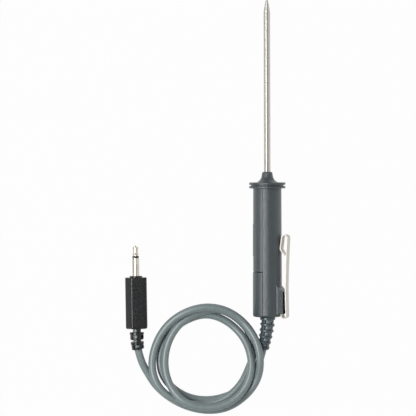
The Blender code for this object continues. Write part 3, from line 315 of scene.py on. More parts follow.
def smooth_path(points, step):
    """Points on a smooth curve through the given ones, at nearly equal steps along it."""
    points = np.array(points, dtype=float)
    knots = np.concatenate([[0.0], np.cumsum(np.linalg.norm(np.diff(points, axis=0), axis=1))])
    gaps = np.diff(knots)
    count = len(points)
    matrix = np.eye(count)
    target = np.zeros((count, 3))
    for i in range(1, count - 1):
        matrix[i, i - 1 : i + 2] = gaps[i - 1], 2 * (gaps[i - 1] + gaps[i]), gaps[i]
        slope_after = (points[i + 1] - points[i]) / gaps[i]
        slope_before = (points[i] - points[i - 1]) / gaps[i - 1]
        target[i] = 6 * (slope_after - slope_before)
    bend = np.linalg.solve(matrix, target)
    fine = np.linspace(0, knots[-1], int(knots[-1] / ROUTE_STEP) + 1)
    k = np.clip(np.searchsorted(knots, fine, side="right") - 1, 0, count - 2)
    width = gaps[k][:, None]
    ahead = (knots[k + 1] - fine)[:, None]
    behind = (fine - knots[k])[:, None]
    curve = (bend[k] * ahead**3 + bend[k + 1] * behind**3) / (6 * width)
    curve += (points[k] / width - bend[k] * width / 6) * ahead
    curve += (points[k + 1] / width - bend[k + 1] * width / 6) * behind
    run = np.concatenate([[0.0], np.cumsum(np.linalg.norm(np.diff(curve, axis=0), axis=1))])
    wanted = np.linspace(0, run[-1], max(2, round(run[-1] / step) + 1))
    return np.stack([np.interp(wanted, run, curve[:, axis]) for axis in range(3)], axis=1)


def on_axis(place, height):
    return np.array(place @ Vector((0, 0, height)))


def cable_route():
    heights = (CABLE_INNER_END, CABLE_INNER_END / 2, 0, -CABLE_LEAD_OUT)
    points = [on_axis(PROBE, height) for height in heights]
    points += [(x * MM, y * MM, z * MM) for x, y, z in ROUTE_FROM_GRIP]
    for angle, distance, height in ROUTE_TURNS:
        turn = math.radians(angle)
        x = LOOP_X + distance * MM * math.sin(turn)
        y = LOOP_Y + distance * MM * math.cos(turn)
        points.append((x, y, height * MM))
    points += [(x * MM, y * MM, z * MM) for x, y, z in ROUTE_TO_PLUG]
    between = (BODY_LENGTH + CABLE_PLUG_END) / 2
    for distance in (BODY_LENGTH + CABLE_LEAD_OUT, BODY_LENGTH, between, CABLE_PLUG_END):
        points.append(on_axis(PLUG, -distance))
    return points


# Shader groups


def new_group(name, inputs, outputs):
    tree = bpy.data.node_groups.new(name, "ShaderNodeTree")
    for label, kind, value in inputs:
        socket = tree.interface.new_socket(label, in_out="INPUT", socket_type="NodeSocket" + kind)
        if value is not None:
            socket.default_value = value
    for label in outputs:
        tree.interface.new_socket(label, in_out="OUTPUT", socket_type="NodeSocketFloat")
    return tree, tree.nodes.new("NodeGroupInput"), tree.nodes.new("NodeGroupOutput")


def noise_node(tree, detail, roughness):
    node = tree.nodes.new("ShaderNodeTexNoise")
    node.inputs["Detail"].default_value = detail
    node.inputs["Roughness"].default_value = roughness
    return node


def spread(tree, value, low, high):
    """Stretches a value between two limits to the full range, with soft ends."""
    node = tree.nodes.new("ShaderNodeMapRange")
    node.interpolation_type = "SMOOTHSTEP"
    node.inputs["From Min"].default_value = low
    node.inputs["From Max"].default_value = high
    tree.links.new(value, node.inputs["Value"])
    return node.outputs["Result"]


def blended(tree, share, a, b):
    node = tree.nodes.new("ShaderNodeMix")
    node.data_type = "FLOAT"
    tree.links.new(share, node.inputs["Factor"])
    tree.links.new(a, node.inputs["A"])
    tree.links.new(b, node.inputs["B"])
    return node.outputs["Result"]


def make_grain_group():
    """Spark-eroded mould texture: fine pits in coarse blotches."""
    inputs = [("Vector", "Vector", None), ("Blotches", "Float", 1500.0)]
    inputs += [("Pits", "Float", 6000.0), ("Pit Share", "Float", 0.4)]
    tree, given, made = new_group("eroded_grain", inputs, ["Height", "Tone"])
    coarse = noise_node(tree, detail=3.0, roughness=0.6)
    fine = noise_node(tree, detail=2.0, roughness=0.7)
    for node, scale in ((coarse, "Blotches"), (fine, "Pits")):
        tree.links.new(given.outputs["Vector"], node.inputs["Vector"])
        tree.links.new(given.outputs[scale], node.inputs["Scale"])
    height = blended(tree, given.outputs["Pit Share"], coarse.outputs["Fac"], fine.outputs["Fac"])
    tree.links.new(height, made.inputs["Height"])
    tree.links.new(spread(tree, height, low=0.36, high=0.66), made.inputs["Tone"])
    return tree


def make_line_group():
    """Fine lines that run one way, as on ground or rolled metal and on extruded jackets."""
    inputs = [("Vector", "Vector", None), ("Line Stretch", "Vector", (3000.0, 40.0, 3000.0))]
    inputs += [("Cloud Scale", "Float", 250.0), ("Cloud Share", "Float", 0.3)]
    tree, given, made = new_group("fine_lines", inputs, ["Height", "Tone"])
    stretch = tree.nodes.new("ShaderNodeVectorMath")
    stretch.operation = "MULTIPLY"
    tree.links.new(given.outputs["Vector"], stretch.inputs[0])
    tree.links.new(given.outputs["Line Stretch"], stretch.inputs[1])
    lines = noise_node(tree, detail=3.0, roughness=0.65)
    lines.inputs["Scale"].default_value = 1.0
    tree.links.new(stretch.outputs["Vector"], lines.inputs["Vector"])
    cloud = noise_node(tree, detail=2.0, roughness=0.5)
    tree.links.new(given.outputs["Vector"], cloud.inputs["Vector"])
    tree.links.new(given.outputs["Cloud Scale"], cloud.inputs["Scale"])
    both = blended(tree, given.outputs["Cloud Share"], lines.outputs["Fac"], cloud.outputs["Fac"])
    tree.links.new(lines.outputs["Fac"], made.inputs["Height"])
    tree.links.new(spread(tree, both, low=0.35, high=0.65), made.inputs["Tone"])
    return tree


eroded_grain = make_grain_group()
fine_lines = make_line_group()


# Materials. Each is named after the record's finish, with this ending.
FINISH = "_surface"


def finish_material(
    name, pattern, dark, light, rough, bump, metallic=0.0, turn=(0, 0, 0), coat=0.0, specular=0.5,
    edge=None, streak=0.0, streak_turn=0.25,
):
    """One surface: a group's tone blends two colours and two roughness values, and its height makes the
    bump, given as strength and depth. Edge tints a metal's rim, and streak draws highlights out along the
    probe, or across it with a turn of 0."""
    group, settings = pattern
    material = bpy.data.materials.new(name + FINISH)
    material.use_nodes = True
    tree = material.node_tree
    shader = tree.nodes["Principled BSDF"]
    shader.inputs["Metallic"].default_value = metallic
    shader.inputs["Coat Weight"].default_value = coat
    shader.inputs["Coat Roughness"].default_value = sum(rough) / 2
    shader.inputs["Specular IOR Level"].default_value = specular
    if edge:
        shader.inputs["Specular Tint"].default_value = (*edge, 1.0)
    if streak:
        shader.inputs["Anisotropic"].default_value = streak
        shader.inputs["Anisotropic Rotation"].default_value = streak_turn
        around = tree.nodes.new("ShaderNodeTangent")
        around.direction_type = "RADIAL"
        around.axis = "Y"
        tree.links.new(around.outputs["Tangent"], shader.inputs["Tangent"])
    place = tree.nodes.new("ShaderNodeTexCoord")
    mapping = tree.nodes.new("ShaderNodeMapping")
    mapping.inputs["Rotation"].default_value = turn
    effect = tree.nodes.new("ShaderNodeGroup")
    effect.node_tree = group
    tree.links.new(place.outputs["Object"], mapping.inputs["Vector"])
    tree.links.new(mapping.outputs["Vector"], effect.inputs["Vector"])
    for label, value in settings.items():
        effect.inputs[label].default_value = value
    colours = tree.nodes.new("ShaderNodeMix")
    colours.data_type = "RGBA"
    colours.inputs["A"].default_value = (*dark, 1.0)
    colours.inputs["B"].default_value = (*light, 1.0)
    tree.links.new(effect.outputs["Tone"], colours.inputs["Factor"])
    tree.links.new(colours.outputs["Result"], shader.inputs["Base Color"])
    gloss = tree.nodes.new("ShaderNodeMapRange")
    gloss.inputs["To Min"].default_value = rough[0]
    gloss.inputs["To Max"].default_value = rough[1]
    tree.links.new(effect.outputs["Tone"], gloss.inputs["Value"])
    tree.links.new(gloss.outputs["Result"], shader.inputs["Roughness"])
    relief = tree.nodes.new("ShaderNodeBump")
    relief.inputs["Strength"].default_value = bump[0]
    relief.inputs["Distance"].default_value = bump[1]
    tree.links.new(effect.outputs["Height"], relief.inputs["Height"])
    tree.links.new(relief.outputs["Normal"], shader.inputs["Normal"])
    return material


def pitted(blotches, pits, share):
    """The eroded grain, with blotches and pits to the metre."""
    return eroded_grain, {"Blotches": blotches, "Pits": pits, "Pit Share": share}


def lined(stretch, cloud, share):
    """The fine lines, with a stretch on each axis and clouds to the metre."""
    return fine_lines, {"Line Stretch": stretch, "Cloud Scale": cloud, "Cloud Share": share}


def shades(colour, darker, lighter):
    return tuple(c * darker for c in colour), tuple(c * lighter for c in colour)


STEEL_EDGE = (0.05, 0.03, 0.01)
GRIP_GREY = (0.030, 0.046, 0.053)
grip_dark, grip_light = shades(GRIP_GREY, 0.7, 1.4)
grip_plastic = finish_material(
    "grip_plastic", pitted(blotches=1700.0, pits=3000.0, share=0.5),
    dark=grip_dark, light=grip_light, rough=(0.29, 0.44), bump=(0.8, 0.0003), coat=0.1, specular=1.0,
)
# Painted shade: a near-black, matte, barely glossy material on the floor of the block's recess, standing in
# for the deep shadow under the clip
painted_recess_shade = finish_material(
    "recess", pitted(blotches=1500.0, pits=5200.0, share=0.45),
    dark=(0.002, 0.002, 0.002), light=(0.006, 0.006, 0.006), rough=(0.85, 0.95), bump=(0.3, 0.0001),
    specular=0.05,
)
relief_dark, relief_light = shades((0.04, 0.064, 0.08), 0.9, 1.15)
relief_plastic = finish_material(
    "relief_plastic", pitted(blotches=900.0, pits=3600.0, share=0.3),
    dark=relief_dark, light=relief_light, rough=(0.32, 0.4), bump=(0.06, 0.00005), specular=1.0,
)
jacket_dark, jacket_light = shades((0.184, 0.231, 0.237), 0.93, 1.07)
cable_jacket = finish_material(
    "cable_jacket", pitted(blotches=420.0, pits=5200.0, share=0.35),
    dark=jacket_dark, light=jacket_light, rough=(0.38, 0.46), bump=(0.12, 0.00008), specular=1.0,
)
plug_dark, plug_light = shades((0.0062, 0.0067, 0.0082), 0.45, 1.8)
plug_plastic = finish_material(
    "plug_plastic", pitted(blotches=1400.0, pits=5200.0, share=0.3),
    dark=plug_dark, light=plug_light, rough=(0.19, 0.31), bump=(0.36, 0.00024), specular=0.6,
)
tube_steel = finish_material(
    "stainless_tube", lined(stretch=(150.0, 7000.0, 150.0), cloud=420.0, share=0.55),
    dark=(0.74, 0.71, 0.665), light=(0.82, 0.79, 0.75), rough=(0.50, 0.57), bump=(0.06, 0.00004),
    metallic=1.0, turn=(TILT, 0, 0), edge=STEEL_EDGE, streak=0.82,
)
clip_steel = finish_material(
    "clip_steel", lined(stretch=(3600.0, 60.0, 3600.0), cloud=160.0, share=0.5),
    dark=(0.82, 0.79, 0.74), light=(0.94, 0.91, 0.86), rough=(0.56, 0.68), bump=(0.1, 0.00005),
    metallic=1.0, turn=(TILT, 0, 0), streak=0.9, streak_turn=0.0,
)
contact_nickel = finish_material(
    "nickel_contact", lined(stretch=(240.0, 5200.0, 240.0), cloud=350.0, share=0.6),
    dark=(0.80, 0.72, 0.59), light=(0.95, 0.89, 0.78), rough=(0.06, 0.12), bump=(0.08, 0.00004),
    metallic=1.0, edge=STEEL_EDGE,
)
ring_plastic = finish_material(
    "ring_plastic", pitted(blotches=1500.0, pits=7000.0, share=0.5),
    dark=(0.008, 0.008, 0.008), light=(0.018, 0.018, 0.018), rough=(0.25, 0.35), bump=(0.1, 0.00005),
)
terminal_brass = finish_material(
    "terminal_brass", lined(stretch=(2500.0, 90.0, 2500.0), cloud=300.0, share=0.5),
    dark=(0.62, 0.42, 0.15), light=(0.78, 0.58, 0.27), rough=(0.25, 0.4), bump=(0.1, 0.00004), metallic=1.0,
)
bead_resin = finish_material(
    "bead_resin", pitted(blotches=2200.0, pits=8000.0, share=0.2),
    dark=(0.04, 0.03, 0.026), light=(0.065, 0.052, 0.045), rough=(0.2, 0.35), bump=(0.15, 0.00005),
)
liner_ptfe = finish_material(
    "liner_ptfe", lined(stretch=(900.0, 60.0, 900.0), cloud=500.0, share=0.5),
    dark=(0.68, 0.67, 0.63), light=(0.8, 0.79, 0.76), rough=(0.35, 0.5), bump=(0.1, 0.00003),
)
red_wire = finish_material(
    "red_wire", lined(stretch=(1500.0, 80.0, 1500.0), cloud=600.0, share=0.5),
    dark=(0.38, 0.022, 0.018), light=(0.5, 0.04, 0.03), rough=(0.35, 0.5), bump=(0.1, 0.00003),
)
white_wire = finish_material(
    "white_wire", lined(stretch=(1500.0, 80.0, 1500.0), cloud=600.0, share=0.5),
    dark=(0.62, 0.62, 0.59), light=(0.76, 0.76, 0.73), rough=(0.35, 0.5), bump=(0.1, 0.00003),
)
shrink_sleeve = finish_material(
    "shrink_sleeve", pitted(blotches=1800.0, pits=6000.0, share=0.4),
    dark=(0.015, 0.015, 0.015), light=(0.028, 0.028, 0.028), rough=(0.4, 0.55), bump=(0.2, 0.00005),
)


# Modelling steps


def deselect():
    bpy.ops.object.select_all(action="DESELECT")


def edit(mode="VERT"):
    bpy.ops.object.mode_set(mode="EDIT")
    bpy.ops.mesh.select_mode(type=mode)


def leave_edit():
    bpy.ops.object.mode_set(mode="OBJECT")


def activate(item):
    deselect()
    item.select_set(True)
    bpy.context.view_layer.objects.active = item


def pick(item, test, kind="EDGE"):
    """Leaves the object in edit mode with the edges or faces selected whose corners all pass the test."""
    activate(item)
    edit(kind)
    bpy.ops.mesh.select_all(action="DESELECT")
    leave_edit()
    mesh = item.data
    chosen = mesh.edges if kind == "EDGE" else mesh.polygons
    for element in chosen:
        corners = [mesh.vertices[i].co for i in element.vertices]
        element.select = bool(test(corners))
    edit(kind)


def draw(name, points):
    """A line of edges, drawn by extruding one vertex from point to point."""
    deselect()
    bpy.ops.mesh.primitive_plane_add(size=MM, location=(0, 0, 0))
    item = bpy.context.object
    item.name = name
    edit()
    bpy.ops.mesh.select_all(action="SELECT")
    bpy.ops.mesh.merge(type="CENTER")
    bpy.ops.transform.translate(value=points[0])
    for before, after in zip(points, points[1:]):
        step = [b - a for a, b in zip(before, after)]
        bpy.ops.mesh.extrude_region_move(TRANSFORM_OT_translate={"value": step})
    return item


def turned(name, profile, steps=GRIP_STEPS):
    """A turned piece: its outline of radius and height is drawn, closed and spun about Z."""
    outline = [(radius, 0, height) for radius, height in profile]
    if profile[0][0] > 0:
        outline.append(outline[0])
    item = draw(name, outline)
    bpy.ops.mesh.select_all(action="SELECT")
    bpy.ops.mesh.remove_doubles(threshold=SAME_PLACE)
    bpy.ops.mesh.select_all(action="SELECT")
    bpy.ops.mesh.spin(steps=steps, angle=math.tau, center=(0, 0, 0), axis=(0, 0, 1))
    bpy.ops.mesh.select_all(action="SELECT")
    bpy.ops.mesh.remove_doubles(threshold=2 * SAME_PLACE)
    bpy.ops.mesh.normals_make_consistent(inside=False)
    leave_edit()
    return item


def cube(name, low, high, turn=0.0):
    """A block between two corners, turned about Z."""
    deselect()
    middle = [(a + b) / 2 for a, b in zip(low, high)]
    size = [b - a for a, b in zip(low, high)]
    bpy.ops.mesh.primitive_cube_add(size=1, location=middle, scale=size)
    item = bpy.context.object
    item.name = name
    bpy.ops.object.transform_apply(location=True, rotation=True, scale=True)
    item.rotation_euler.z = turn
    bpy.ops.object.transform_apply(location=True, rotation=True, scale=True)
    return item


def apply(item, kind, **settings):
    activate(item)
    step = item.modifiers.new(kind.title(), kind)
    for label, value in settings.items():
        setattr(step, label, value)
    bpy.ops.object.modifier_apply(modifier=step.name)


def join_shape(item, tool, operation):
    """Unites, cuts or crosses the item with a tool, which is then deleted."""
    apply(item, "BOOLEAN", operation=operation, solver="EXACT", object=tool)
    bpy.data.objects.remove(tool)


def keep_side(item, side, gap):
    """Cuts a turned piece along the seam and closes the cut."""
    activate(item)
    edit()
    bpy.ops.mesh.select_all(action="SELECT")
    bpy.ops.mesh.bisect(
        plane_co=(side * gap / 2, 0, 0), plane_no=(side, 0, 0), use_fill=True, clear_inner=True,
        threshold=SAME_PLACE,
    )
    leave_edit()


def soften(item, test, width, segments=2):
    """Rounds the chosen edges."""
    pick(item, test)
    bpy.ops.mesh.bevel(offset=width, segments=segments, affect="EDGES", clamp_overlap=True)
    leave_edit()


def set_down(item, place, material, nodes, smooth=SMOOTH_DEGREES, even=True):
    """Puts a finished piece in its place, with its material, in the stead of its CAD nodes.
    Even keeps large flats plain beside rounded edges."""
    activate(item)
    item.matrix_world = place
    bpy.ops.object.transform_apply(location=True, rotation=True, scale=True)
    bpy.ops.object.shade_smooth_by_angle(angle=math.radians(smooth))
    if even:
        apply(item, "WEIGHTED_NORMAL", keep_sharp=True)
    if not item.data.materials:
        item.data.materials.append(material)
    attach(item, "root")
    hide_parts(*nodes)
    return item


def arc(x, z, radius, first, last, count):
    turns = [math.radians(a) for a in np.linspace(first, last, count)]
    return [(x + radius * math.cos(a), z + radius * math.sin(a)) for a in turns]


def bend_along(item, path, side, start):
    """Moves a straight piece onto a path. Its Z gives the distance back along the path."""
    directions = np.gradient(path, axis=0)
    directions /= np.linalg.norm(directions, axis=1)[:, None]
    run = np.concatenate([[0.0], np.cumsum(np.linalg.norm(np.diff(path, axis=0), axis=1))])
    sides = np.empty_like(path)
    current = np.array(side, dtype=float)
    for i, direction in enumerate(directions):
        current = current - direction * (current @ direction)
        current /= np.linalg.norm(current)
        sides[i] = current
    for vertex in item.data.vertices:
        distance = start - vertex.co.z
        place = np.array([np.interp(distance, run, path[:, axis]) for axis in range(3)])
        along = np.array([np.interp(distance, run, directions[:, axis]) for axis in range(3)])
        across = np.array([np.interp(distance, run, sides[:, axis]) for axis in range(3)])
        vertex.co = place + across * vertex.co.x + np.cross(-along, across) * vertex.co.y
    item.data.update()


# Camera, floor and light


def build_camera():
    camera = bpy.data.cameras.new("camera")
    camera.sensor_width = CAMERA_SENSOR
    camera.lens = CAMERA_LENS
    camera.clip_end = CAMERA_SIGHT
    item = bpy.data.objects.new("camera", camera)
    item.location = CAMERA_PLACE
    item.rotation_euler = (0, 0, CAMERA_ROLL)
    bpy.context.scene.collection.objects.link(item)
    bpy.context.scene.camera = item
    bpy.context.scene.view_settings.view_transform = "Standard"


def build_key_lamp():
    """A soft box that spans the given angle, and that the camera doesn't see."""
    lamp = bpy.data.lights.new("key_softbox", "AREA")
    lamp.shape = "RECTANGLE"
    lamp.size = 2 * KEY_DISTANCE * math.tan(KEY_SPAN / 2)
    lamp.size_y = KEY_LENGTH
    lamp.energy = KEY_RADIANCE * math.pi * lamp.size * KEY_LENGTH
    item = bpy.data.objects.new("key_softbox", lamp)
    item.location = (KEY_DISTANCE * math.sin(KEY_ANGLE), KEY_Y, KEY_DISTANCE * math.cos(KEY_ANGLE))
    item.rotation_euler = (0, KEY_ANGLE, 0)
    item.visible_camera = False
    bpy.context.scene.collection.objects.link(item)


def build_floor():
    """A white sheet that keeps a faint shadow of the object."""
    deselect()
    bpy.ops.mesh.primitive_grid_add(
        x_subdivisions=FLOOR_PARTS, y_subdivisions=FLOOR_PARTS, size=FLOOR_SIZE, location=(0, 0, -FLOOR_DROP)
    )
    floor = bpy.context.object
    floor.name = "studio_floor"
    bpy.ops.object.transform_apply(location=True, rotation=True, scale=True)
    paper = bpy.data.materials.new("studio_paper")
    paper.use_nodes = True
    tree = paper.node_tree
    surface = tree.nodes["Principled BSDF"]
    surface.inputs["Base Color"].default_value = (*FLOOR_GREY, 1)
    surface.inputs["Roughness"].default_value = FLOOR_ROUGHNESS
    glow = tree.nodes.new("ShaderNodeEmission")
    glow.inputs["Strength"].default_value = 1.0
    rays = tree.nodes.new("ShaderNodeLightPath")
    total = rays.outputs["Is Camera Ray"]
    for label in ("Is Glossy Ray", "Is Transmission Ray"):
        both = tree.nodes.new("ShaderNodeMath")
        both.operation = "MAXIMUM"
        tree.links.new(total, both.inputs[0])
        tree.links.new(rays.outputs[label], both.inputs[1])
        total = both.outputs["Value"]
    share = tree.nodes.new("ShaderNodeMath")
    share.operation = "MULTIPLY"
    share.inputs[1].default_value = FLOOR_GLOW
    tree.links.new(total, share.inputs[0])
    mix = tree.nodes.new("ShaderNodeMixShader")
    tree.links.new(share.outputs["Value"], mix.inputs["Fac"])
    tree.links.new(surface.outputs["BSDF"], mix.inputs[1])
    tree.links.new(glow.outputs["Emission"], mix.inputs[2])
    tree.links.new(mix.outputs["Shader"], tree.nodes["Material Output"].inputs["Surface"])
    floor.data.materials.append(paper)


def build_air():
    """Grey studio air, darker on the left and paler on the right."""
    world = bpy.data.worlds.new("studio_air")
    bpy.context.scene.world = world
    world.use_nodes = True
    tree = world.node_tree
    where = tree.nodes.new("ShaderNodeTexCoord")
    parts = tree.nodes.new("ShaderNodeSeparateXYZ")
    tree.links.new(where.outputs["Generated"], parts.inputs["Vector"])
    level = tree.nodes.new("ShaderNodeMapRange")
    level.inputs["From Min"].default_value = -1.0
    tree.links.new(parts.outputs["X"], level.inputs["Value"])
    ramp = tree.nodes.new("ShaderNodeValToRGB")
    stops = ramp.color_ramp.elements
    stops[0].position, stops[0].color = LEFT_STOP, (*LEFT_AIR, 1)
    stops[1].position, stops[1].color = RIGHT_STOP, (*RIGHT_AIR, 1)
    top = stops.new(TOP_STOP)
    top.color = (*TOP_AIR, 1)
    tree.links.new(level.outputs["Result"], ramp.inputs["Fac"])
    tree.links.new(ramp.outputs["Color"], tree.nodes["Background"].inputs["Color"])


# Cable


def build_cable(route):
    path = smooth_path(route, JACKET_STEP)
    curve = bpy.data.curves.new("cable_jacket_run", "CURVE")
    curve.dimensions = "3D"
    curve.bevel_depth = CABLE_RADIUS
    curve.bevel_resolution = JACKET_ROUNDING
    curve.use_fill_caps = True
    line = curve.splines.new("POLY")
    line.points.add(len(path) - 1)
    for point, place in zip(line.points, path):
        point.co = (*place, 1)
    line.use_smooth = True
    curve.materials.append(cable_jacket)
    item = bpy.data.objects.new("cable_run", curve)
    bpy.context.scene.collection.objects.link(item)
    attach(item, "root")
    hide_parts("cable")
    length = float(np.linalg.norm(np.diff(path, axis=0), axis=1).sum())
    return item, length


# Grip and clip


def grip_radius(height):
    return GRIP_REAR_RADIUS + (GRIP_FRONT_RADIUS - GRIP_REAR_RADIUS) * height / GRIP_LENGTH


def rear_edge(radius):
    middle = radius - REAR_EDGE_RADIUS
    turns = np.linspace(0, math.pi / 2, REAR_EDGE_STEPS)
    return [(middle + REAR_EDGE_RADIUS * math.cos(a), REAR_EDGE_RADIUS * (1 - math.sin(a))) for a in turns]


def rim(low, high):
    middle = FLANGE_RADIUS - RIM_EDGE_RADIUS
    upper = arc(middle, high - RIM_EDGE_RADIUS, RIM_EDGE_RADIUS, 90, 0, RIM_STEPS)
    return upper + arc(middle, low + RIM_EDGE_RADIUS, RIM_EDGE_RADIUS, 0, -90, RIM_STEPS)


def grip_profile():
    points = [(TUBE_BORE, NOSE_TOP)]
    edge = NOSE_TIP_RADIUS - NOSE_EDGE_RADIUS
    points += arc(edge, NOSE_TOP - NOSE_EDGE_RADIUS, NOSE_EDGE_RADIUS, 90, 0, NOSE_EDGE_STEPS)
    for rise in np.geomspace(1, NOSE_STEP_GROWTH, NOSE_STEPS)[::-1]:
        height = (rise - 1) / (NOSE_STEP_GROWTH - 1) * (NOSE_LENGTH - 2 * NOSE_EDGE_RADIUS)
        flare = (NOSE_FOOT_RADIUS - NOSE_TIP_RADIUS) * math.exp(-height / NOSE_FLARE)
        points.append((NOSE_TIP_RADIUS + flare, FLANGE_TOP + height))
    groove_top = GRIP_LENGTH + (FLANGE_THICKNESS + GROOVE_WIDTH) / 2
    groove_low = groove_top - GROOVE_WIDTH
    floor = FLANGE_RADIUS - GROOVE_DEPTH
    points += rim(groove_top, FLANGE_TOP)
    points += [(floor, groove_top), (floor, groove_low)]
    points += rim(GRIP_LENGTH, groove_low)
    points += [(grip_radius(GRIP_LENGTH), GRIP_LENGTH)]
    points += rear_edge(GRIP_REAR_RADIUS)
    rear_hole = RELIEF_NECK_RADIUS + RELIEF_STAND
    points += [(rear_hole, 0), (rear_hole, GRIP_WALL), (CAVITY_RADIUS, GRIP_WALL)]
    rear_web = TUBE_REAR + WEB_INSET
    for low in (rear_web, rear_web + WEB_SPACING):
        high = low + WEB_THICKNESS
        points += [(CAVITY_RADIUS, low), (TUBE_BORE, low), (TUBE_BORE, high), (CAVITY_RADIUS, high)]
    foot = NOSE_TOP - NOSE_BORE_LENGTH
    return points + [(CAVITY_RADIUS, foot), (TUBE_BORE, foot)]


def long_seam_edge(low, high):
    """Tests for the outer edges of the seam that run along the grip between two heights."""

    def test(corners):
        at_seam = all(abs(abs(c.x) - SEAM_GAP / 2) < 2 * NEAR for c in corners)
        outside = all(abs(c.y) > SEAM_OUTSIDE for c in corners)
        between = all(low - 10 * NEAR < c.z < high + 10 * NEAR for c in corners)
        return at_seam and outside and between

    return test


def build_block():
    """The block for the clip: straight at the grip, then tapered, with a front that slopes back."""
    half = BLOCK_WIDTH / 2
    front = BLOCK_REAR + BLOCK_LENGTH
    rise = BLOCK_REACH - BLOCK_SHOULDER_RADIUS
    block = cube("clip_block", (BLOCK_ROOT_RADIUS, -half, BLOCK_REAR), (BLOCK_SHOULDER_RADIUS, half, front))
    pick(block, lambda cs: all(c.x > BLOCK_SHOULDER_RADIUS - 10 * NEAR for c in cs), "FACE")
    bpy.ops.mesh.extrude_region_move(TRANSFORM_OT_translate={"value": (rise, 0, 0)})
    bpy.ops.transform.resize(value=(1, 1 - rise * math.tan(BLOCK_DRAFT) / half, 1))
    leave_edit()
    for reach in (BLOCK_ROOT_RADIUS, BLOCK_SHOULDER_RADIUS, BLOCK_REACH):
        pick(block, lambda cs: all(abs(c.x - reach) < NEAR and c.z > BLOCK_LENGTH / 2 for c in cs))
        bpy.ops.transform.translate(value=(0, 0, BLOCK_REACH - reach - BLOCK_SLOPE))
        leave_edit()
    soften(block, lambda cs: all(c.x > BLOCK_REACH - 10 * NEAR for c in cs), BLOCK_OUTER_EDGE, segments=3)
    shoulder = BLOCK_SHOULDER_RADIUS - NEAR
    soften(block, lambda cs: all(c.x > shoulder and c.z > BLOCK_LENGTH / 2 for c in cs), BLOCK_FRONT_EDGE)
    return block


def build_grip_right():
    """The half that carries the clip, with its block, the clip's slot and the recess, whose floor gets
    painted shade.
    """
    item = turned("grip_right", grip_profile())
    keep_side(item, 1, SEAM_GAP)
    soften(item, long_seam_edge(REAR_EDGE_RADIUS, GRIP_LENGTH), SEAM_EDGE)
    join_shape(item, build_block(), "UNION")
    half = CLIP_THICKNESS / 2 + SLOT_FIT
    width = CLIP_WIDTH / 2 + SLOT_FIT
    low = (CLIP_SEAT_RADIUS - half, -width, -GRIP_WALL)
    slot = cube("clip_slot", low, (CLIP_SEAT_RADIUS + half, width, BLOCK_REAR + SLOT_DEPTH))
    join_shape(item, slot, "DIFFERENCE")
    recess_low = (BLOCK_REACH - RECESS_DEPTH, -RECESS_WIDTH / 2, 0)
    recess_high = (BLOCK_REACH + MM, RECESS_WIDTH / 2, BLOCK_REAR + BLOCK_LENGTH - BLOCK_SLOPE)
    join_shape(item, cube("clip_recess", recess_low, recess_high), "DIFFERENCE")
    # The recess's floor faces take the painted shade: a near-black sheet standing in for the shadow under the
    # clip.
    item.data.materials.append(grip_plastic)
    item.data.materials.append(painted_recess_shade)
    floor = BLOCK_REACH - RECESS_DEPTH
    pick(item, lambda cs: all(abs(c.x - floor) < NEAR and abs(c.y) < RECESS_WIDTH for c in cs), "FACE")
    item.active_material_index = 1
    bpy.ops.object.material_slot_assign()
    leave_edit()
    return set_down(item, SEAM, grip_plastic, ["handle_half_right"], BLOCK_SMOOTH_DEGREES)


def build_grip_left():
    """The half that ends at the rear cover, with a bare pad on its underside."""
    item = turned("grip_left", grip_profile())
    keep_side(item, -1, SEAM_GAP)
    room = cube("cover_room", (-REACH, -REACH, -REACH), (REACH, REACH, COVER_LENGTH + COVER_GAP))
    join_shape(item, room, "DIFFERENCE")
    soften(item, long_seam_edge(COVER_LENGTH + COVER_GAP, GRIP_LENGTH), SEAM_EDGE)
    top = PAD_REAR + PAD_LENGTH
    inner = CAVITY_RADIUS + GRIP_WALL / 2
    profile = [(inner, top), (grip_radius(top) + PAD_PROUD, top)]
    profile += [(grip_radius(PAD_REAR) + PAD_PROUD, PAD_REAR), (inner, PAD_REAR)]
    pad = turned("bare_pad", profile)
    window = cube("pad_window", (-REACH, -PAD_WIDTH / 2, 0), (-inner / 2, PAD_WIDTH / 2, GRIP_LENGTH))
    join_shape(pad, window, "INTERSECT")
    join_shape(item, pad, "UNION")
    return set_down(item, SEAM, grip_plastic, ["handle_half_left"])


def cover_seam_edge(corners):
    middle = CAVITY_RADIUS + GRIP_WALL / 2
    beside = all(abs(c.x + COVER_GAP / 2) < 2 * NEAR and abs(c.y) > middle for c in corners)
    return beside and abs(corners[0].z - corners[1].z) > COVER_LENGTH / 2


def build_cover():
    front = grip_radius(COVER_LENGTH) + COVER_PROUD
    points = [(CAVITY_RADIUS, COVER_LENGTH), (front - COVER_EDGE, COVER_LENGTH)]
    middle = (front - COVER_EDGE, COVER_LENGTH - COVER_EDGE)
    points += arc(*middle, COVER_EDGE, COVER_EDGE_START, 0, COVER_EDGE_STEPS)
    points += rear_edge(COVER_RADIUS)
    rear_hole = RELIEF_NECK_RADIUS + RELIEF_STAND
    points += [(rear_hole, 0), (rear_hole, GRIP_WALL), (CAVITY_RADIUS, GRIP_WALL)]
    item = turned("grip_rear_cover", points)
    keep_side(item, -1, COVER_GAP)
    soften(item, cover_seam_edge, COVER_EDGE / 2, segments=3)
    return set_down(item, SEAM, grip_plastic, ["rear_cover"])


def leg_reach(height, rear, front):
    """The clip's leg comes closest to the grip at its waist and leans out to both ends."""
    if height < CLIP_WAIST_HEIGHT:
        end, share = CLIP_LEG_RADIUS, (CLIP_WAIST_HEIGHT - height) / (CLIP_WAIST_HEIGHT - rear)
    else:
        end, share = CLIP_FOLD_REACH, (height - CLIP_WAIST_HEIGHT) / (front - CLIP_WAIST_HEIGHT)
    return CLIP_WAIST_RADIUS + (end - CLIP_WAIST_RADIUS) * share**CLIP_LEG_CURVE


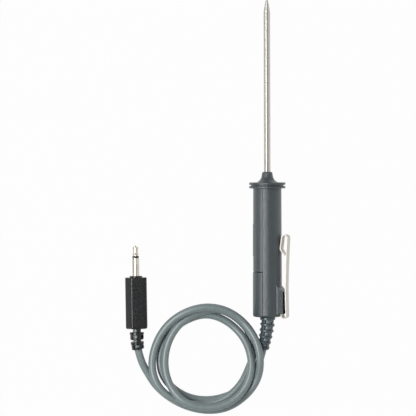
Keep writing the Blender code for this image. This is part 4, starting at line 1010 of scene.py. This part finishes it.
def build_clip():
    """One strip: seat in the block, rear bend, leg, fold, nip on the grip and turned-out lip."""
    radius = (CLIP_LEG_RADIUS - CLIP_SEAT_RADIUS) / 2
    bend_z = BLOCK_REAR - CLIP_REAR_STAND
    seat_top = BLOCK_REAR + SLOT_DEPTH - 2 * SLOT_FIT
    seat_heights = (seat_top, (seat_top + bend_z) / 2, bend_z)
    path = [(CLIP_SEAT_RADIUS, height) for height in seat_heights]
    path += arc(CLIP_SEAT_RADIUS + radius, bend_z, radius, CLIP_REAR_BEND_START, 360, CLIP_BEND_STEPS)
    fold_x = CLIP_FOLD_REACH - CLIP_FOLD_RADIUS
    fold_z = CLIP_FOLD_HEIGHT - CLIP_FOLD_RADIUS
    for height in np.linspace(bend_z, fold_z, CLIP_LEG_STEPS)[1:-1]:
        path.append((leg_reach(height, bend_z, fold_z), height))
    arm_turn = 180 - CLIP_ARM_LEAN
    path += arc(fold_x, fold_z, CLIP_FOLD_RADIUS, 0, arm_turn, CLIP_BEND_STEPS)
    nip_x = grip_radius(CLIP_NIP_HEIGHT) + CLIP_NIP_GAP + CLIP_THICKNESS / 2
    lip_lean = math.degrees(math.atan2(CLIP_LIP_REACH, CLIP_LIP_DROP))
    middle = nip_x + CLIP_NIP_RADIUS
    path += arc(middle, CLIP_NIP_HEIGHT, CLIP_NIP_RADIUS, arm_turn, 180 + lip_lean, CLIP_NIP_STEPS)
    path.append((nip_x + CLIP_LIP_REACH, CLIP_NIP_HEIGHT - CLIP_LIP_DROP))
    item = draw("pocket_clip_strip", [(x, -CLIP_WIDTH / 2, z) for x, z in path])
    bpy.ops.mesh.select_all(action="SELECT")
    bpy.ops.mesh.extrude_region_move(TRANSFORM_OT_translate={"value": (0, CLIP_WIDTH, 0)})
    leave_edit()
    apply(item, "SOLIDIFY", thickness=CLIP_THICKNESS, offset=0, use_even_offset=True)
    activate(item)
    edit()
    bpy.ops.mesh.select_all(action="SELECT")
    bpy.ops.mesh.normals_make_consistent(inside=False)
    leave_edit()
    apply(item, "BEVEL", width=CLIP_EDGE, segments=2, limit_method="ANGLE", angle_limit=CLIP_SHARP)
    return set_down(item, SEAM, clip_steel, ["pocket_clip"])


def build_tube():
    points = [(0, TIP_END)]
    for share in POINT_SHARES:
        points.append((TUBE_RADIUS * share**POINT_FULLNESS, TIP_END - POINT_LENGTH * share))
    bore = TUBE_RADIUS - TUBE_WALL
    points += [(TUBE_RADIUS, TUBE_REAR), (bore, TUBE_REAR)]
    points += [(bore, TIP_END - POINT_SOLID_LENGTH - bore), (0, TIP_END - POINT_SOLID_LENGTH)]
    return set_down(turned("spike_tube", points, TUBE_STEPS), PROBE, tube_steel, ["probe_tube"])


# Strain relief of the grip


def relief_radius(distance):
    share = max(0.0, distance / RELIEF_LENGTH)
    return RELIEF_FRONT_RADIUS + (RELIEF_END_RADIUS - RELIEF_FRONT_RADIUS) * share**RELIEF_TAPER_CURVE


def relief_profile():
    """Foot behind the rear wall, neck, collar, then rings with a rounded edge, and the bore."""
    edge = RELIEF_EDGE
    foot_low = GRIP_WALL + RELIEF_STAND
    foot_high = foot_low + RELIEF_FOOT_THICKNESS
    points = [(CABLE_BORE, foot_high), (RELIEF_FOOT_RADIUS, foot_high), (RELIEF_FOOT_RADIUS, foot_low)]
    points += [(RELIEF_NECK_RADIUS, foot_low), (RELIEF_NECK_RADIUS, -RELIEF_STAND)]
    collar_end = RELIEF_STAND + RELIEF_COLLAR_LENGTH
    points += [(RELIEF_COLLAR_RADIUS - edge, -RELIEF_STAND), (RELIEF_COLLAR_RADIUS, -RELIEF_STAND - edge)]
    points += [(RELIEF_COLLAR_RADIUS, -collar_end + edge), (RELIEF_COLLAR_RADIUS - edge, -collar_end)]
    groove = RELIEF_WINDOW_HEIGHT + 2 * RELIEF_LEDGE
    for i in range(RELIEF_WINDOWS):
        middle = RELIEF_FIRST_WINDOW + i * RELIEF_PITCH
        top = collar_end + NEAR if i == 0 else middle - groove / 2
        low = middle + groove / 2
        ring_end = RELIEF_LENGTH if i == RELIEF_WINDOWS - 1 else low + RELIEF_PITCH - groove
        wide, slim = relief_radius(low), relief_radius(ring_end)
        inset = RELIEF_GROOVE_DEPTH + edge
        points += [(relief_radius(top) - inset, -top), (wide - inset, -low)]
        points += [(wide - edge, -low - NEAR), (wide, -low - edge)]
        points += [(slim, -ring_end + edge), (slim - edge, -ring_end)]
    points += [(CABLE_BORE, -RELIEF_LENGTH)]
    for i in reversed(range(RELIEF_WINDOWS)):
        points.append((CABLE_BORE, -(RELIEF_FIRST_WINDOW + i * RELIEF_PITCH)))
    return points + [(CABLE_BORE, 0)]


def build_relief(path, side):
    """The rings are cut by two rows of windows that cross, then bent onto the cable's route."""
    item = turned("grip_strain_relief", relief_profile(), SMALL_STEPS)
    for i in range(RELIEF_WINDOWS):
        share = i / (RELIEF_WINDOWS - 1)
        half = RELIEF_WINDOW_WIDTH * (1 - RELIEF_WINDOW_TAPER * share) / 2
        top = RELIEF_WINDOW_HEIGHT / 2 - RELIEF_FIRST_WINDOW - i * RELIEF_PITCH
        low, high = (-half, -REACH, top - RELIEF_WINDOW_HEIGHT), (half, REACH, top)
        for turn in (RELIEF_ROLL, RELIEF_ROLL + math.pi / 2):
            join_shape(item, cube("relief_window", low, high, turn), "DIFFERENCE")
    bend_along(item, path, side, CABLE_INNER_END)
    return set_down(item, Matrix.Identity(4), relief_plastic, ["strain_relief"], even=False)


# Plug


def plug_block():
    """The eight-sided body: rounded long edges, a small front edge and a wider rear one."""
    deselect()
    corner = BODY_ACROSS / 2 / math.cos(math.pi / BODY_SIDES)
    middle = (0, 0, -BODY_LENGTH / 2)
    bpy.ops.mesh.primitive_cylinder_add(
        vertices=BODY_SIDES, radius=corner, depth=BODY_LENGTH, location=middle
    )
    item = bpy.context.object
    item.name = "plug_moulding"
    item.rotation_euler.z = math.pi / BODY_SIDES
    bpy.ops.object.transform_apply(location=True, rotation=True, scale=True)
    soften(item, lambda cs: abs(cs[0].z - cs[1].z) > BODY_LENGTH / 2, BODY_SIDE_EDGE, segments=3)
    soften(item, lambda cs: all(c.z < NEAR - BODY_LENGTH for c in cs), BODY_REAR_EDGE, segments=4)
    soften(item, lambda cs: all(c.z > -NEAR for c in cs), BODY_FRONT_EDGE, segments=3)
    return item


def skeleton_profile(first, full):
    """Two segments behind the body, each with a rounded front band and a slimmer part."""
    root = BODY_REAR_EDGE - BODY_LENGTH
    bars = [(0, root), (SKELETON_FRONT_RADIUS, root)]
    edge = SKELETON_EDGE
    taper = SKELETON_FRONT_RADIUS - SKELETON_END_RADIUS
    for start, end in ((NECK_GAP, first), (first + MIDDLE_GAP, full)):
        wide = SKELETON_FRONT_RADIUS - taper * start / full
        slim = SKELETON_FRONT_RADIUS - taper * end / full
        band = start + FRONT_BAND
        bars += [(wide - edge, -BODY_LENGTH - start), (wide, -BODY_LENGTH - start - edge)]
        bars += [(wide, -BODY_LENGTH - band + edge), (wide - edge, -BODY_LENGTH - band)]
        bars += [(slim, -BODY_LENGTH - end + edge), (slim - edge, -BODY_LENGTH - end)]
    return bars + [(0, -BODY_LENGTH - full)]


def build_plug_body(path, side):
    """The body with its boss, its bore and the skeleton of bars behind it."""
    item = plug_block()
    round_edge = BODY_FRONT_EDGE / 2
    boss = [(0, BOSS_LENGTH), (BOSS_RADIUS - round_edge, BOSS_LENGTH)]
    boss += [(BOSS_RADIUS, BOSS_LENGTH - round_edge), (BOSS_RADIUS, -BODY_FRONT_WALL), (0, -BODY_FRONT_WALL)]
    join_shape(item, turned("plug_boss", boss, SMALL_STEPS), "UNION")
    first = NECK_GAP + FRONT_BAND + BAR_WINDOW_LENGTH + THIN_BAND
    full = first + MIDDLE_GAP + FRONT_BAND + END_WINDOW_LENGTH + END_BAND
    join_shape(item, turned("plug_bars", skeleton_profile(first, full), SMALL_STEPS), "UNION")
    hole = SLEEVE_RADIUS + 3 * CONTACT_GAP
    cavity_low = -BODY_FRONT_WALL - BODY_CAVITY_LENGTH
    bore = [(0, 2 * BOSS_LENGTH), (hole, 2 * BOSS_LENGTH), (hole, -BODY_FRONT_WALL)]
    bore += [(BODY_CAVITY_RADIUS, -BODY_FRONT_WALL), (BODY_CAVITY_RADIUS, cavity_low)]
    bore += [(CABLE_BORE, cavity_low)]
    bore_end = full + CABLE_RADIUS
    bore += [(CABLE_BORE, -BODY_LENGTH - distance) for distance in np.linspace(0, bore_end, BORE_STEPS)]
    bore += [(0, -BODY_LENGTH - bore_end)]
    join_shape(item, turned("plug_bore", bore, SMALL_STEPS), "DIFFERENCE")
    half = SPINE_WIDTH / 2
    for top, length in ((-BODY_LENGTH, NECK_GAP), (-BODY_LENGTH - first, MIDDLE_GAP)):
        for near, far in ((half, REACH), (-REACH, -half)):
            gap = cube("skeleton_gap", (near, -REACH, top - length), (far, REACH, top), SKELETON_ROLL)
            join_shape(item, gap, "DIFFERENCE")
    half = BAR_WINDOW_WIDTH / 2
    top = -BODY_LENGTH - NECK_GAP - FRONT_BAND
    for turn in (math.pi / 4, -math.pi / 4):
        low, high = (-half, -REACH, top - BAR_WINDOW_LENGTH), (half, REACH, top)
        join_shape(item, cube("bar_window", low, high, SKELETON_ROLL + turn), "DIFFERENCE")
    half = END_WINDOW_WIDTH / 2
    top = -BODY_LENGTH - first - MIDDLE_GAP - FRONT_BAND
    low, high = (-half, -REACH, top - END_WINDOW_LENGTH), (half, REACH, top)
    join_shape(item, cube("end_window", low, high, SKELETON_ROLL + END_WINDOW_TURN), "DIFFERENCE")
    bend_along(item, path, side, PLUG_LINE_START)
    return set_down(item, Matrix.Identity(4), plug_plastic, ["plug_body"])


def build_contacts():
    """The sleeve, the ring with its tube, and the tip with its rod."""
    edge = CONTACT_EDGE
    foot = -BODY_FRONT_WALL - 3 * CONTACT_GAP
    sleeve = [(SLEEVE_BORE_RADIUS, SLEEVE_LENGTH), (SLEEVE_RADIUS - edge, SLEEVE_LENGTH)]
    sleeve += [(SLEEVE_RADIUS, SLEEVE_LENGTH - edge), (SLEEVE_RADIUS, foot), (SLEEVE_FOOT_RADIUS, foot)]
    foot -= SLEEVE_FOOT_THICKNESS
    sleeve += [(SLEEVE_FOOT_RADIUS, foot), (SLEEVE_BORE_RADIUS, foot)]
    set_down(turned("contact_sleeve", sleeve, SMALL_STEPS), PLUG, contact_nickel, ["plug_sleeve"])
    ring_low = SLEEVE_LENGTH + CONTACT_GAP
    ring_high = SLEEVE_LENGTH + RING_LENGTH - CONTACT_GAP
    washer = foot - CONTACT_GAP
    washer_low = washer - INSULATOR_FOOT_THICKNESS
    ring = [(INSULATOR_BORE_RADIUS, ring_high), (SLEEVE_RADIUS - edge, ring_high)]
    ring += [(SLEEVE_RADIUS, ring_high - edge), (SLEEVE_RADIUS, ring_low), (INSULATOR_RADIUS, ring_low)]
    ring += [(INSULATOR_RADIUS, washer), (INSULATOR_FOOT_RADIUS, washer)]
    ring += [(INSULATOR_FOOT_RADIUS, washer_low), (INSULATOR_BORE_RADIUS, washer_low)]
    set_down(turned("contact_ring", ring, SMALL_STEPS), PLUG, ring_plastic, ["plug_insulator"])
    low = SLEEVE_LENGTH + RING_LENGTH
    top = low + HEAD_LENGTH
    head = [(radius * MM, top - HEAD_LENGTH * share) for share, radius in HEAD_SHAPE]
    head += [(ROD_RADIUS, low), (ROD_RADIUS, -ROD_REAR), (0, -ROD_REAR)]
    set_down(turned("contact_tip", head, SMALL_STEPS), PLUG, contact_nickel, ["plug_tip"])


build_camera()
build_floor()
build_air()
build_key_lamp()
route = cable_route()
fine_route = smooth_path(route, FINE_STEP)
cable, cable_length = build_cable(route)
across_grip = PROBE.to_3x3() @ Vector((1, 0, 0))
across_plug = PLUG.to_3x3() @ Vector((1, 0, 0))
relief = build_relief(fine_route, across_grip)
plug_heights = np.arange(PLUG_LINE_START, -CABLE_PLUG_END, -PLUG_LINE_STEP)
plug_line = [on_axis(PLUG, height) for height in plug_heights]
plug_body = build_plug_body(np.concatenate([plug_line, fine_route[::-1]]), across_plug)
build_contacts()
build_tube()
build_grip_right()
build_grip_left()
build_cover()
build_clip()

inner_finishes = {
    "sensor_bead": bead_resin,
    "sensor_lead_a": red_wire,
    "sensor_lead_b": white_wire,
    "insulating_sleeve": liner_ptfe,
    "tube_collar": tube_steel,
    "cable_clamp": terminal_brass,
    "handle_core_a": red_wire,
    "handle_core_b": white_wire,
    "splice_sleeve_a": shrink_sleeve,
    "splice_sleeve_b": shrink_sleeve,
    "tip_terminal": terminal_brass,
    "sleeve_terminal": terminal_brass,
    "plug_core_a": red_wire,
    "plug_core_b": white_wire,
}
for node, material in inner_finishes.items():
    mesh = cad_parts[node].data
    mesh.materials.clear()
    mesh.materials.append(material)

on_cable = [relief, plug_body]
on_cable += [bpy.data.objects[name] for name in ("contact_sleeve", "contact_ring", "contact_tip")]
inner_on_cable = ("tip_terminal", "sleeve_terminal", "plug_core_a", "plug_core_b")
on_cable += [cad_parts[node] for node in inner_on_cable]
